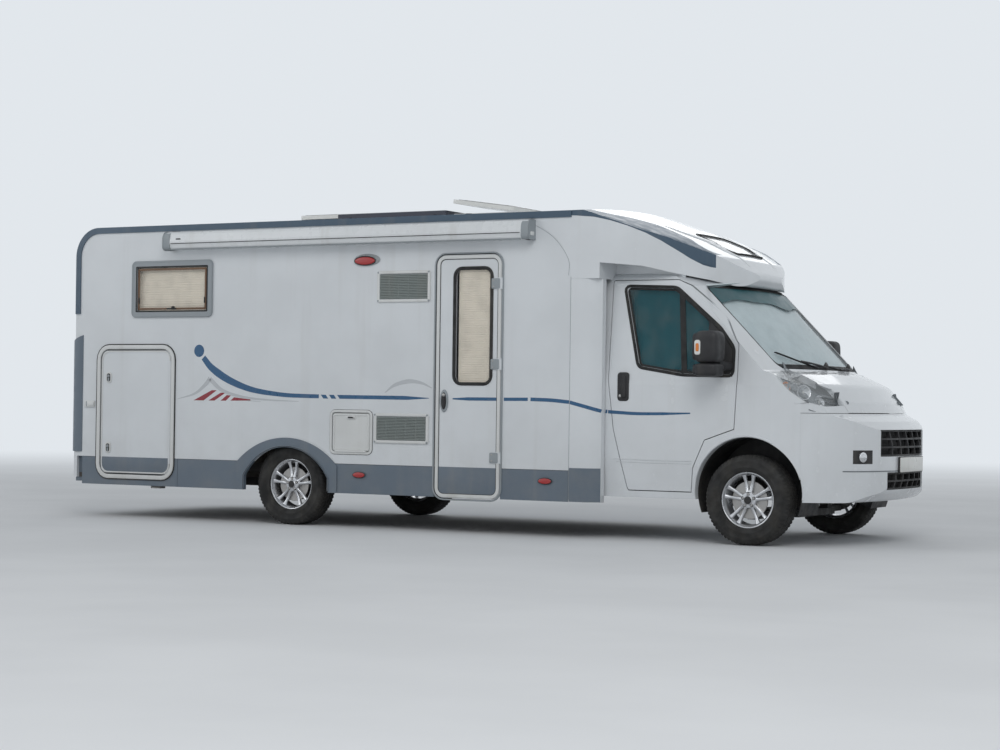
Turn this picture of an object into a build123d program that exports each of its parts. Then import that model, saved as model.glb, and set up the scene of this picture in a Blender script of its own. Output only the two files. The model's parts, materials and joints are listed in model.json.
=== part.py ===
from build123d import *
import os

os.makedirs("parts", exist_ok=True)

# Sizes are in millimetres. x points forwards, y to the left, z up, and the road is z = 0.

# Whole vehicle
length = 7294
front_overhang = 915
wheelbase = 4035
track_front = 1810
track_rear = 1980
front_axle_x = length / 2 - front_overhang
rear_axle_x = front_axle_x - wheelbase
swing_gap = 6
lamp_gap = 10
seat_gap = 0.3

# Wheels
tyre_r = 335
tyre_w = 215
rim_r = 196
rim_lip_r = 208
rim_w = 150
rim_lip_t = 8
rim_barrel_t = 10
hub_r = 62
spoke_w = 26
spoke_t = 34
spoke_pairs = 5
spoke_spread = 11

# Coach body
body_w = 2300
half_w = body_w / 2
wall_t = 34
roof_edge_z = 2510
crown = 60
corner_r = 250
tail_overhang = 2262
tail_x = rear_axle_x - tail_overhang
floor_top_z = 540
floor_t = 40
skirt_top_z = 520
skirt_bottom_z = 280
skirt_joint = 3
garage_floor_z = 376
garage_depth = 1120
garage_h = 1130
bumper_rear = 2330
seam_back = 1405
column_front_back = 1160
cap_seam_z = 1985
cap_seam_r = 430
seam_x = front_axle_x - seam_back
column_x = front_axle_x - column_front_back
arch_r = 425
arch_top_z = 650
arch_spring_z = 400
arch_lip_r = 508
arch_lip_z = 720
arch_lip_spring_z = 500
arch_lip_t = 8
wheel_box_t = 16
wheel_box_y = 820
wheel_box_top = 790

# Doors and lids of the coach, measured forwards from the rear axle and up from the road
garage_door_x = -1960
garage_door_w = 750
garage_door_z = 382
garage_door_h = 1058
entry_x = 1436
entry_w = 590
entry_z = 276
entry_h = 1914
entry_window_x = 168
entry_window_w = 330
entry_window_z = 903
entry_window_h = 902
flap_x = 462
flap_w = 357
flap_z = 624
flap_h = 305
door_corner_r = 80
flap_corner_r = 20

entry_hinges_z = [600, 1330, 1960]
entry_hinge_l = 90
hinge_out = 8
hinge_gap = 3
hinge_r = 8.5

# Windows: side, forwards from the rear axle, bottom, width, height
window_frame_w = 58
window_proud = 14
window_table = [
    (-1, -1634, 1723, 862, 485),
    (1, -1634, 1723, 862, 485),
    (1, 640, 1400, 1100, 560),
]
rear_window_w = 1000
rear_window_h = 440
rear_window_z = 1560
rear_window_proud = 6
pane_t = 6

# Fridge vents: side, forwards from the rear axle, bottom, width, height
vent_t = 14
vent_table = [
    (-1, 877, 1823, 501, 254),
    (-1, 863, 693, 514, 242),
]

# Roof pieces: forwards from the rear axle of the front edge, length, width
hatch_front_x = 1650
hatch_l = 580
hatch_w = 580
hatch_frame_h = 34
hatch_lid_h = 34
hatch_open = 8
rear_hatch_front_x = -100
rear_hatch_l = 420
rear_hatch_w = 420
solar_x = -60
solar_l = 1080
solar_w = 680
solar_t = 35
awning_back = -1200
awning_l = 3500
awning_z = 2292
awning_h = 150
awning_d = 118

# Cab, measured from the front axle
cab_w = 2050
cab_half = cab_w / 2
cab_t = 50
cab_floor_z = 330
cab_roof_z = 2030
cab_back = 1300
cab_bow_r = 3200
cab_bow_turn = 100
front_arch_r = 415
front_arch_x = 5
front_arch_z = 385
wheelhouse_y = 590
firewall_x = 60


def coach(distance):
    """Place on x of a point measured forwards from the rear axle."""
    return rear_axle_x + distance


def cab(distance):
    """Place on x of a point measured forwards from the front axle."""
    return front_axle_x + distance


def prism(points, plane, depth, corner=0, grow=0):
    """A flat outline of straight runs, its corners rounded, grown all round and pushed out."""
    with BuildPart() as solid:
        with BuildSketch(plane):
            with BuildLine():
                Polyline(*points, close=True)
            make_face()
            if corner:
                fillet(vertices(), corner)
            if grow:
                offset(amount=grow, kind=Kind.INTERSECTION if not corner else Kind.ARC)
        extrude(amount=depth)
    return solid.part


def box(x0, x1, y0, y1, z0, z1):
    """A block between two corners."""
    return prism([(x0, y0), (x1, y0), (x1, y1), (x0, y1)], Plane.XY.offset(z0), z1 - z0)


def rectangle(x, z, w, h):
    """The four corners of a panel seen from the side."""
    return [(x, z), (x + w, z), (x + w, z + h), (x, z + h)]


def side_prism(side, points, outer, depth, corner=0, grow=0):
    """An outline seen from the side, from its outer plane inwards, on the right (-1) or left (1)."""
    return prism(points, Plane.XZ.offset(-side * outer), side * depth, corner, grow)


def arch_prism(side, half, spring_z, top_z, outer, depth):
    """A wheel arch seen from the side: straight sides below a round top."""
    with BuildPart() as solid:
        with BuildSketch(Plane.XZ.offset(-side * outer)):
            with BuildLine():
                Polyline((rear_axle_x - half, spring_z), (rear_axle_x - half, 0), (rear_axle_x + half, 0),
                         (rear_axle_x + half, spring_z))
                ThreePointArc((rear_axle_x + half, spring_z), (rear_axle_x, top_z),
                              (rear_axle_x - half, spring_z))
            make_face()
        extrude(amount=side * depth)
    return solid.part


def finish(piece, name):
    """Label a piece and write it."""
    piece.label = name
    export_step(piece, f"parts/{name}.step")


# Wheels: one tyre and one rim at each corner
wheel_table = [
    ("front_right", front_axle_x, -1, track_front),
    ("front_left", front_axle_x, 1, track_front),
    ("rear_right", rear_axle_x, -1, track_rear),
    ("rear_left", rear_axle_x, 1, track_rear),
]


def tyre_at(x, y):
    """A tyre as a ring turned about its axle."""
    with BuildPart() as tyre:
        with BuildSketch(Plane.YZ.offset(x)):
            with BuildLine():
                FilletPolyline(
                    (y - rim_w / 2, tyre_r + rim_r),
                    (y - rim_w / 2, tyre_r + rim_lip_r),
                    (y - tyre_w / 2 + 8, tyre_r + rim_lip_r + 14),
                    (y - tyre_w / 2, tyre_r + rim_lip_r + 50),
                    (y - tyre_w / 2 + 6, 2 * tyre_r - 34),
                    (y - tyre_w / 2 + 32, 2 * tyre_r),
                    (y + tyre_w / 2 - 32, 2 * tyre_r),
                    (y + tyre_w / 2 - 6, 2 * tyre_r - 34),
                    (y + tyre_w / 2, tyre_r + rim_lip_r + 50),
                    (y + tyre_w / 2 - 8, tyre_r + rim_lip_r + 14),
                    (y + rim_w / 2, tyre_r + rim_lip_r),
                    (y + rim_w / 2, tyre_r + rim_r),
                    radius=[0, 10, 20, 20, 14, 14, 20, 20, 10, 0],
                )
                Line((y + rim_w / 2, tyre_r + rim_r), (y - rim_w / 2, tyre_r + rim_r))
            make_face()
        revolve(axis=Axis((x, y, tyre_r), (0, 1, 0)))
    return tyre.part


def rim_at(x, y, side):
    """An alloy wheel: barrel, lips, hub and paired spokes behind the outer lip."""
    face = Plane(origin=(x, y + side * (rim_w / 2 - 6), tyre_r), x_dir=(1, 0, 0), z_dir=(0, side, 0))
    with BuildPart() as rim:
        with BuildSketch(Plane.XZ.offset(-y - rim_w / 2)):
            with Locations((x, tyre_r)):
                Circle(rim_r)
                Circle(rim_r - rim_barrel_t, mode=Mode.SUBTRACT)
        extrude(amount=rim_w)
        for edge in (-1, 1):
            with BuildSketch(Plane.XZ.offset(-y - edge * rim_w / 2)):
                with Locations((x, tyre_r)):
                    Circle(rim_lip_r)
                    Circle(rim_r - rim_barrel_t, mode=Mode.SUBTRACT)
            extrude(amount=-edge * rim_lip_t)
        with BuildSketch(face):
            Circle(hub_r)
            for turn in (-spoke_spread, spoke_spread):
                with PolarLocations(0, spoke_pairs, start_angle=90 + turn):
                    with Locations((rim_r / 2, 0)):
                        Rectangle(rim_r - rim_barrel_t / 2, spoke_w)
        extrude(amount=-spoke_t)
        with BuildSketch(face):
            Circle(hub_r / 2)
        extrude(amount=6)
    return rim.part


for name, x, side, track in wheel_table:
    y = side * (track / 2)
    finish(tyre_at(x, y), f"tyre_{name}")
    finish(rim_at(x, y, side), f"rim_{name}")

# Hub faces that carry the rims
hub_face_front = track_front / 2 + rim_w / 2 - 6 - spoke_t - seat_gap
hub_face_rear = track_rear / 2 + rim_w / 2 - 6 - spoke_t - seat_gap

# Front knuckles: an upright inside the wheel, standing on the lower arm, with its hub
arm_z = 190
arm_t = 50
arm_in = 380
knuckle_z = arm_z + arm_t + seat_gap
upright_r = 30
for name, side in (("right", -1), ("left", 1)):
    pivot_y = side * track_front / 2
    with BuildPart() as knuckle:
        with BuildSketch(Plane.XY.offset(knuckle_z)):
            with Locations((front_axle_x, pivot_y)):
                Circle(upright_r)
        extrude(amount=tyre_r + 130 - knuckle_z)
        with BuildSketch(Plane.XZ.offset(-pivot_y + side * 30)):
            with Locations((front_axle_x, tyre_r)):
                Circle(hub_r - 4)
        extrude(amount=-side * (hub_face_front - track_front / 2 + 30))
    finish(knuckle.part, f"knuckle_{name}")

# Front subframe: cross beam with a lower arm to each knuckle
with BuildPart() as front_subframe:
    with BuildSketch(Plane.XY.offset(arm_z)):
        with Locations((cab(-40), 0)):
            Rectangle(420, 2 * arm_in)
        with Locations((cab(-40), 0)):
            Rectangle(200, 360, mode=Mode.SUBTRACT)
        for side in (-1, 1):
            with Locations((front_axle_x, side * (arm_in - 30 + track_front / 2) / 2)):
                Rectangle(60, track_front / 2 - arm_in + 30)
    extrude(amount=arm_t)
    for side in (-1, 1):
        with BuildSketch(Plane.XY.offset(arm_z)):
            with Locations((cab(-200), side * 300), (cab(120), side * 300)):
                Rectangle(70, 70)
        extrude(amount=cab_floor_z - arm_z)
finish(front_subframe.part, "front_subframe")

# Engine and gearbox as one block
with BuildPart() as engine_block:
    with BuildSketch(Plane.XY.offset(cab_floor_z + cab_t)):
        with Locations((cab(330), 0)):
            RectangleRounded(430, 900, 60)
    extrude(amount=500)
finish(engine_block.part, "engine_block")

# Rear dead axle: beam, hubs and springs
spring_y = 620
spring_l = 1100
with BuildPart() as rear_axle:
    with BuildSketch(Plane.XZ.offset(hub_face_rear)):
        with Locations((rear_axle_x, tyre_r)):
            Circle(hub_r - 4)
    extrude(amount=-2 * hub_face_rear)
    for side in (-1, 1):
        with BuildSketch(Plane.XZ.offset(-side * (track_rear / 2 - 60))):
            with Locations((rear_axle_x, tyre_r)):
                Circle(130)
        extrude(amount=side * 60)
        with BuildSketch(Plane.XY.offset(tyre_r - 70)):
            with Locations((rear_axle_x, side * spring_y)):
                Rectangle(spring_l, 60)
        extrude(amount=18)
finish(rear_axle.part, "rear_axle")

# Chassis: two rails and cross members under the floor
rail_y = 345
rail_w = 60
rail_z = 400
rail_top = floor_top_z - floor_t
cross_pitch = 560
rail_back = tail_x + garage_depth
tail_end = tail_x + 150
tail_rail_z = garage_floor_z - floor_t - 90
towbar_hole_r = 6.5
towbar_pitch = 150
towbar_x = tail_end + 200
towbar_z = tail_rail_z + 45
rail_front = cab(-cab_back)
with BuildPart() as chassis_frame:
    with BuildSketch(Plane.XY.offset(rail_z)):
        for side in (-1, 1):
            with Locations(((rail_back + rail_front) / 2, side * rail_y)):
                Rectangle(rail_front - rail_back, rail_w)
        cross_count = int((rail_front - rail_back) / cross_pitch) + 1
        with GridLocations((rail_front - rail_back - 60) / (cross_count - 1), 1, cross_count, 1):
            with Locations(((rail_back + rail_front) / 2, 0)):
                Rectangle(60, 2 * rail_y)
    extrude(amount=rail_top - rail_z)
    for side in (-1, 1):
        for reach in (-1, 1):
            hanger_x = rear_axle_x + reach * (spring_l / 2 + 15)
            with BuildSketch(Plane.XY.offset(tyre_r - 70)):
                with Locations((hanger_x, side * spring_y)):
                    Rectangle(30, 60)
            extrude(amount=rail_top - tyre_r + 70)
            with BuildSketch(Plane.XY.offset(rail_top - 60)):
                with Locations((hanger_x, side * (spring_y + rail_y) / 2)):
                    Rectangle(50, spring_y - rail_y + 40)
            extrude(amount=60)
        add(box(tail_end, rail_back, side * rail_y - rail_w / 2, side * rail_y + rail_w / 2,
                tail_rail_z, garage_floor_z - floor_t))
        add(box(rail_back, rail_back + 60, side * rail_y - rail_w / 2, side * rail_y + rail_w / 2,
                tail_rail_z, rail_top))
        with BuildSketch(Plane.XZ.offset(-side * rail_y)):
            with Locations((towbar_x - towbar_pitch / 2, towbar_z), (towbar_x + towbar_pitch / 2, towbar_z)):
                Circle(towbar_hole_r)
        extrude(amount=rail_w, both=True, mode=Mode.SUBTRACT)
    add(box(tail_end, tail_end + 60, -rail_y, rail_y, tail_rail_z, garage_floor_z - floor_t))
    add(box((tail_end + rail_back) / 2, (tail_end + rail_back) / 2 + 60, -rail_y, rail_y, tail_rail_z,
            garage_floor_z - floor_t))
finish(chassis_frame.part, "chassis_frame")

# Coach floor with a lowered garage floor and the rear wheel boxes
step_x = tail_x + garage_depth
inner = half_w - wall_t
floor_profile = [
    (tail_x + wall_t, garage_floor_z - floor_t),
    (step_x, garage_floor_z - floor_t),
    (step_x, floor_top_z - floor_t),
    (cab(-cab_back), floor_top_z - floor_t),
    (cab(-cab_back), floor_top_z),
    (step_x - floor_t, floor_top_z),
    (step_x - floor_t, garage_floor_z),
    (tail_x + wall_t, garage_floor_z),
]
with BuildPart() as coach_floor:
    add(prism(floor_profile, Plane.XZ.offset(inner), -2 * inner))
    for side in (-1, 1):
        y_low = min(side * wheel_box_y, side * (inner + 60))
        y_high = max(side * wheel_box_y, side * (inner + 60))
        y_wall = side * (wheel_box_y - wheel_box_t)
        add(box(rear_axle_x - arch_r - wheel_box_t, rear_axle_x + arch_r + wheel_box_t,
                min(y_wall, side * inner), max(y_wall, side * inner),
                floor_top_z - floor_t, wheel_box_top + wheel_box_t))
        add(box(rear_axle_x - arch_r, rear_axle_x + arch_r, y_low, y_high, 0, wheel_box_top),
            mode=Mode.SUBTRACT)
coach_floor_part = coach_floor.part

# Bed deck and bulkhead over the garage
deck_t = 30
deck_z = garage_floor_z + garage_h
with BuildPart() as garage_deck:
    add(box(tail_x + wall_t, step_x - floor_t, -inner, inner, deck_z, deck_z + deck_t))
    add(box(step_x - floor_t - deck_t, step_x - floor_t, -inner, inner, garage_floor_z, deck_z))
finish(garage_deck.part, "garage_deck")

# Side walls, cut for the windows, doors, vents and flap
arc_x = tail_x + corner_r
arc_z = roof_edge_z - corner_r
wall_top_z = roof_edge_z - wall_t
entry_x0 = coach(entry_x)
for name, side in (("right", -1), ("left", 1)):
    with BuildPart() as side_wall:
        with BuildSketch(Plane.XZ.offset(half_w)):
            with BuildLine():
                Line((tail_x + wall_t, skirt_top_z), (tail_x + wall_t, arc_z))
                RadiusArc((tail_x + wall_t, arc_z), (arc_x, wall_top_z), corner_r - wall_t)
                Line((arc_x, wall_top_z), (seam_x - cap_seam_r, wall_top_z))
                Line((seam_x - cap_seam_r, wall_top_z), (seam_x - cap_seam_r, cap_seam_z + cap_seam_r))
                RadiusArc((seam_x - cap_seam_r, cap_seam_z + cap_seam_r), (seam_x, cap_seam_z), cap_seam_r)
                Line((seam_x, cap_seam_z), (seam_x, skirt_top_z))
                Line((seam_x, skirt_top_z), (tail_x + wall_t, skirt_top_z))
            make_face()
        extrude(amount=-wall_t)
        if side > 0:
            side_wall.part = mirror(side_wall.part, about=Plane.XZ)
        cuts = []
        for cut_side, x, z, w, h in window_table + vent_table:
            if cut_side == side:
                cuts.append(side_prism(side, rectangle(coach(x), z, w, h), half_w + 10, wall_t + 20,
                                       45, -window_frame_w / 2))
        cuts.append(side_prism(side, rectangle(coach(garage_door_x), garage_door_z, garage_door_w,
                                               garage_door_h), half_w + 10, wall_t + 20, 60, swing_gap))
        cuts.append(arch_prism(side, arch_r, arch_spring_z, arch_top_z, half_w + 10, wall_t + 20))
        if side < 0:
            cuts.append(side_prism(side, rectangle(entry_x0, entry_z, entry_w, entry_h), half_w + 10,
                                   wall_t + 20, door_corner_r, swing_gap))
            cuts.append(side_prism(side, rectangle(coach(flap_x), flap_z, flap_w, flap_h), half_w + 10,
                                   wall_t + 20, flap_corner_r, swing_gap))
        for cut in cuts:
            add(cut, mode=Mode.SUBTRACT)
    finish(side_wall.part, f"side_wall_{name}")

# Skirts below the walls, with the raised lip round the rear wheel
skirt_runs = [
    (tail_x + wall_t + 60, coach(-1120) - skirt_joint),
    (coach(-1120), seam_x - skirt_joint),
]
for name, side in (("right", -1), ("left", 1)):
    with BuildPart() as skirt:
        for x0, x1 in skirt_runs:
            add(side_prism(side, rectangle(x0, skirt_bottom_z, x1 - x0,
                                           skirt_top_z - skirt_bottom_z - skirt_joint), half_w, wall_t))
        add(arch_prism(side, arch_lip_r, arch_lip_spring_z, arch_lip_z, half_w + arch_lip_t, arch_lip_t))
        add(arch_prism(side, arch_r, arch_spring_z, arch_top_z, half_w + 40, wall_t + 80), mode=Mode.SUBTRACT)
        add(box(tail_x, column_x, -half_w - 40, half_w + 40, 0, skirt_bottom_z), mode=Mode.SUBTRACT)
        add(side_prism(side, rectangle(coach(garage_door_x), garage_door_z, garage_door_w,
                                       garage_door_h), half_w + 10, wall_t + 20, 60, swing_gap),
            mode=Mode.SUBTRACT)
        if side < 0:
            add(side_prism(side, rectangle(entry_x0, entry_z - 30, entry_w, entry_h), half_w + 10,
                           wall_t + 20, 0, swing_gap), mode=Mode.SUBTRACT)
    finish(skirt.part, f"skirt_{name}")

# Roof: a crowned panel that turns down into the bowed rear wall
with BuildPart() as roof_panel:
    with BuildSketch(Plane.YZ.offset(arc_x)):
        with BuildLine():
            ThreePointArc((-half_w, roof_edge_z), (0, roof_edge_z + crown), (half_w, roof_edge_z))
            Line((half_w, roof_edge_z), (half_w, wall_top_z))
            ThreePointArc((half_w, wall_top_z), (0, wall_top_z + crown), (-half_w, wall_top_z))
            Line((-half_w, wall_top_z), (-half_w, roof_edge_z))
        make_face()
    extrude(amount=seam_x - arc_x)
    with BuildSketch(Plane.YZ.offset(arc_x)):
        with BuildLine():
            ThreePointArc((-half_w, roof_edge_z), (0, roof_edge_z + crown), (half_w, roof_edge_z))
            Line((half_w, roof_edge_z), (half_w, wall_top_z))
            ThreePointArc((half_w, wall_top_z), (0, wall_top_z + crown), (-half_w, wall_top_z))
            Line((-half_w, wall_top_z), (-half_w, roof_edge_z))
        make_face()
    revolve(axis=Axis((arc_x, 0, arc_z), (0, -1, 0)), revolution_arc=90)
    for front_x, size_l, size_w in ((hatch_front_x, hatch_l, hatch_w),
                                    (rear_hatch_front_x, rear_hatch_l, rear_hatch_w)):
        add(box(coach(front_x - size_l + 50), coach(front_x - 50), 50 - size_w / 2, size_w / 2 - 50,
                wall_top_z - 100, roof_edge_z + 200), mode=Mode.SUBTRACT)
finish(roof_panel.part, "roof_panel")

# Rear wall, bowed like the roof, with its window cut
wall_bottom_z = garage_floor_z - floor_t
with BuildPart() as rear_wall:
    with BuildSketch(Plane.XY.offset(wall_bottom_z)):
        with BuildLine():
            ThreePointArc((tail_x, -half_w), (tail_x - crown, 0), (tail_x, half_w))
            Line((tail_x, half_w), (tail_x + wall_t, half_w))
            ThreePointArc((tail_x + wall_t, half_w), (tail_x + wall_t - crown, 0), (tail_x + wall_t, -half_w))
            Line((tail_x + wall_t, -half_w), (tail_x, -half_w))
        make_face()
    extrude(amount=arc_z - wall_bottom_z)
    with BuildSketch(Plane.YZ.offset(tail_x - 200)):
        with Locations((0, rear_window_z + rear_window_h / 2)):
            RectangleRounded(rear_window_w - window_frame_w, rear_window_h - window_frame_w, 50)
    extrude(amount=400, mode=Mode.SUBTRACT)
finish(rear_wall.part, "rear_wall")

# Rear bumper across the foot of the rear wall
bumper_z = 300
bumper_top = 560
bumper_side_x = coach(-2180)
bumper_side_y = half_w + 4
bumper_turn_x = coach(-2262)
bumper_turn_y = half_w - 30
bumper_corner_x = coach(-2300)
bumper_corner_y = half_w - 110
with BuildPart() as rear_bumper:
    with BuildSketch(Plane.XY.offset(bumper_z)):
        with BuildLine():
            for side in (-1, 1):
                ThreePointArc((bumper_side_x, side * bumper_side_y), (bumper_turn_x, side * bumper_turn_y),
                              (bumper_corner_x, side * bumper_corner_y))
            ThreePointArc((bumper_corner_x, -bumper_corner_y), (coach(-bumper_rear), 0),
                          (bumper_corner_x, bumper_corner_y))
            Line((bumper_side_x, bumper_side_y), (bumper_side_x, -bumper_side_y))
        make_face()
    extrude(amount=bumper_top - bumper_z)
    add(rear_wall.part, mode=Mode.SUBTRACT)
    add(coach_floor.part, mode=Mode.SUBTRACT)
    add(side_prism(-1, rectangle(coach(-2400), 0, 300, 3000), half_w, wall_t), mode=Mode.SUBTRACT)
    add(side_prism(1, rectangle(coach(-2400), 0, 300, 3000), half_w, wall_t), mode=Mode.SUBTRACT)
rear_bumper.part = rear_bumper.part.solids().sort_by(SortBy.VOLUME)[-1]
finish(rear_bumper.part, "rear_bumper")

# Grey mouldings up the rear corners, with the tail lamps let into them
moulding_x = -2172
moulding_y = 40
moulding_t = 4
moulding_rear = 62
moulding_inner = 240
moulding_top = 1580
moulding_fall = 120
moulding_turn = 18
moulding_face = 90
moulding_fade = 30
moulding_bulge = 12
lamp_w = 96
lamp_z = 640
lamp_h = 440
lamp_t = 20
lamp_in = 130
lamp_corner_r = 40
lamp_proud = 20
with BuildPart() as rear_corners:
    with BuildSketch(Plane.XY.offset(bumper_top)):
        for side in (-1, 1):
            with BuildLine():
                Line((coach(moulding_x), side * (half_w - moulding_y)),
                     (coach(moulding_x), side * (half_w + moulding_t)))
                ThreePointArc((coach(moulding_x), side * (half_w + moulding_t)),
                              (tail_x - moulding_rear / 2, side * (half_w - moulding_turn)),
                              (tail_x - moulding_rear, side * (half_w - moulding_face)))
                Line((tail_x - moulding_rear, side * (half_w - moulding_face)),
                     (tail_x - moulding_rear - moulding_bulge,
                      side * (half_w - moulding_inner + moulding_fade)))
                Line((tail_x - moulding_rear - moulding_bulge,
                      side * (half_w - moulding_inner + moulding_fade)),
                     (tail_x, side * (half_w - moulding_inner)))
                Line((tail_x, side * (half_w - moulding_inner)),
                     (coach(moulding_x), side * (half_w - moulding_y)))
            make_face()
    extrude(amount=moulding_top - bumper_top)
    add(prism([(tail_x - 200, moulding_top - moulding_fall), (tail_x - 200, moulding_top + 10),
               (coach(moulding_x) + 10, moulding_top + 10), (coach(moulding_x) + 10, moulding_top)],
              Plane.XZ.offset(half_w + 50), -2 * half_w - 100), mode=Mode.SUBTRACT)
    add(rear_wall.part, mode=Mode.SUBTRACT)
    add(box(tail_x, coach(-2000), -half_w, half_w, 0, 3000), mode=Mode.SUBTRACT)
corner_solids = rear_corners.part.solids().sort_by(SortBy.VOLUME)[-2:]
with BuildPart() as tail_lamps:
    for side in (-1, 1):
        with BuildSketch(Plane.YZ.offset(tail_x - moulding_rear - lamp_proud)):
            with Locations((side * (half_w - lamp_in), lamp_z + lamp_h / 2)):
                RectangleRounded(lamp_w, lamp_h, lamp_corner_r)
        extrude(amount=lamp_proud + lamp_t)
with BuildPart() as corners_cut:
    add(corner_solids)
    add(tail_lamps.part, mode=Mode.SUBTRACT)
finish(corners_cut.part, "rear_corners")
finish(tail_lamps.part, "tail_lamps")

# Cab hull: side profile swept round a wide bow, trimmed to its plan and front view
cab_profile = [
    (-cab_back - 400, cab_floor_z),
    (800, cab_floor_z),
    (885, 400),
    (front_overhang, 500),
    (front_overhang, 640),
    (905, 760),
    (880, 865),
    (815, 925),
    (715, 975),
    (672, 1060),
    (575, 1187),
    (400, 1270),
    (320, 1297),
    (-265, 1935),
    (-410, 2010),
    (-620, cab_roof_z),
    (-cab_back - 400, cab_roof_z),
]
cab_profile_r = [0, 60, 60, 60, 60, 60, 40, 40, 40, 40, 120, 60, 60, 60, 100, 100, 0]


def cab_hull(inset):
    """The outer form of the cab, drawn in by an inset all round."""
    bow_x = cab(front_overhang - cab_bow_r)
    bow_axis = Axis((bow_x, 0, 0), (0, 0, 1))
    with BuildPart() as bowed:
        with BuildSketch(Plane.XZ):
            with BuildLine():
                FilletPolyline(*[(cab(x), z) for x, z in cab_profile], radius=cab_profile_r, close=True)
            make_face()
            if inset:
                offset(amount=-inset)
        revolve(axis=bow_axis, revolution_arc=cab_bow_turn)
    with BuildPart() as hull:
        add(bowed.part.rotate(bow_axis, -cab_bow_turn / 2))
        with BuildSketch(Plane.XY):
            with BuildLine():
                for side in (-1, 1):
                    Line((cab(-cab_back - 600), side * (cab_half + 2)), (cab(150), side * (cab_half + 2)))
                    ThreePointArc((cab(150), side * (cab_half + 2)), (cab(380), side * 984),
                                  (cab(580), side * 878))
                    ThreePointArc((cab(580), side * 878), (cab(706), side * 750), (cab(800), side * 600))
                ThreePointArc((cab(800), -600), (cab(front_overhang + 10), 0), (cab(800), 600))
                Line((cab(-cab_back - 600), cab_half + 2), (cab(-cab_back - 600), -cab_half - 2))
            make_face()
            if inset:
                offset(amount=-inset)
        extrude(amount=2600, mode=Mode.INTERSECT)
        with BuildSketch(Plane.YZ.offset(cab(-cab_back - 400))):
            with BuildLine():
                FilletPolyline(
                    (-cab_half + 30, 100),
                    (-cab_half, 620),
                    (-cab_half, 1180),
                    (-930, cab_roof_z + 4),
                    (930, cab_roof_z + 4),
                    (cab_half, 1180),
                    (cab_half, 620),
                    (cab_half - 30, 100),
                    radius=[60, 200, 200, 110, 110, 200, 200, 60],
                    close=True,
                )
            make_face()
            if inset:
                offset(amount=-inset)
        extrude(amount=cab_back + 1600, mode=Mode.INTERSECT)
    return hull.part


def cab_layer(outer, inner):
    """The skin of the cab between two insets, from its back plane forwards."""
    with BuildPart() as layer:
        add(cab_hull(outer))
        add(cab_hull(inner), mode=Mode.SUBTRACT)
        add(box(cab(-cab_back), cab(1200), -cab_half - 50, cab_half + 50, 0, 2400), mode=Mode.INTERSECT)
    return layer.part


def outline(points):
    """An outline in the cab's own x, moved to the front axle."""
    return [(cab(x), z) for x, z in points]


cab_skin = cab_layer(0, cab_t)
front_skin = cab_layer(0, 32)
glass_skin = cab_layer(10, 16)
mat_skin = cab_layer(16 + seat_gap, 24)

# Outlines on the cab, in x from the front axle and z
door_reach = 205
door_outline = [
    (-1140, 1975), (-1136, 1224), (-1088, 842), (-972, 405), (-960, 384), (-445, 384),
    (-432, 560), (-337, 774), (-100, 859), (-79, 1238), (-82, 1488), (-242, 1715),
    (-492, 1930), (-600, 1975),
]
window_outline = [
    (-1028, 1923), (-883, 1325), (-520, 1268), (-125, 1262), (-125, 1455), (-240, 1602), (-610, 1908),
]
lamp_outline = [
    (190, 1314), (250, 1225), (324, 1146), (431, 1069), (559, 1033), (620, 1042), (635, 1065), (514, 1163),
    (349, 1255), (240, 1312),
]
screen_half = 815
screen_outline = [(-screen_half, 1310), (screen_half, 1310), (screen_half, 1950), (-screen_half, 1950)]
bonnet_half = [(318, 500), (285, 600), (285, 706), (360, 690), (700, 600), (1000, 500)]
bonnet_outline = [(350, 0)] + [(x, -y) for x, y in bonnet_half] + list(reversed(bonnet_half))
lamp_side = 716
lamp_reach = 700
bonnet_pin_x = 279
bonnet_pin_z = 1280
bonnet_pin_r = 5.7
bonnet_pin_y = 690
bonnet_pin_l = 62
bumper_top_z = 985
bumper_back = 405
grille_w = 960
grille_z = 668
grille_top = 865
intake_w = 800
intake_z = 420
intake_h = 130

bonnet_cut = prism(outline(bonnet_outline), Plane.XY.offset(bumper_top_z + 3), 600)
bonnet_hole = prism(outline(bonnet_outline), Plane.XY.offset(bumper_top_z - 8), 600, 0, swing_gap)
lamp_clear = prism(outline(bonnet_outline), Plane.XY.offset(bumper_top_z - 8), 600, 0, lamp_gap)
screen_cut = prism(screen_outline, Plane.YZ.offset(cab(-520)), 1100, 60)
screen_clear = prism(screen_outline, Plane.YZ.offset(cab(-520)), 1100, 0, 2 * swing_gap)
front_box = box(cab(bumper_back), cab(1200), -1200, 1200, 0, bumper_top_z - 3)
front_hole = box(cab(bumper_back), cab(1200), -1200, 1200, 0, bumper_top_z)


def lamp_prism(side, grow):
    """The outline of one headlamp pushed through its front corner, outside the bonnet."""
    with BuildPart() as solid:
        add(side_prism(side, outline(lamp_outline), 1200, lamp_reach, 12, grow))
        add(box(cab(0), cab(420), -lamp_side, lamp_side, bumper_top_z, 1400), mode=Mode.SUBTRACT)
    return solid.part


def arch_cylinder(radius, side, near, far):
    """A cylinder across a front wheel, between two distances from the middle."""
    with BuildPart() as drum:
        with BuildSketch(Plane.XZ.offset(-side * near)):
            with Locations((cab(front_arch_x), front_arch_z)):
                Circle(radius)
        extrude(amount=-side * (far - near))
    return drum.part


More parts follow.
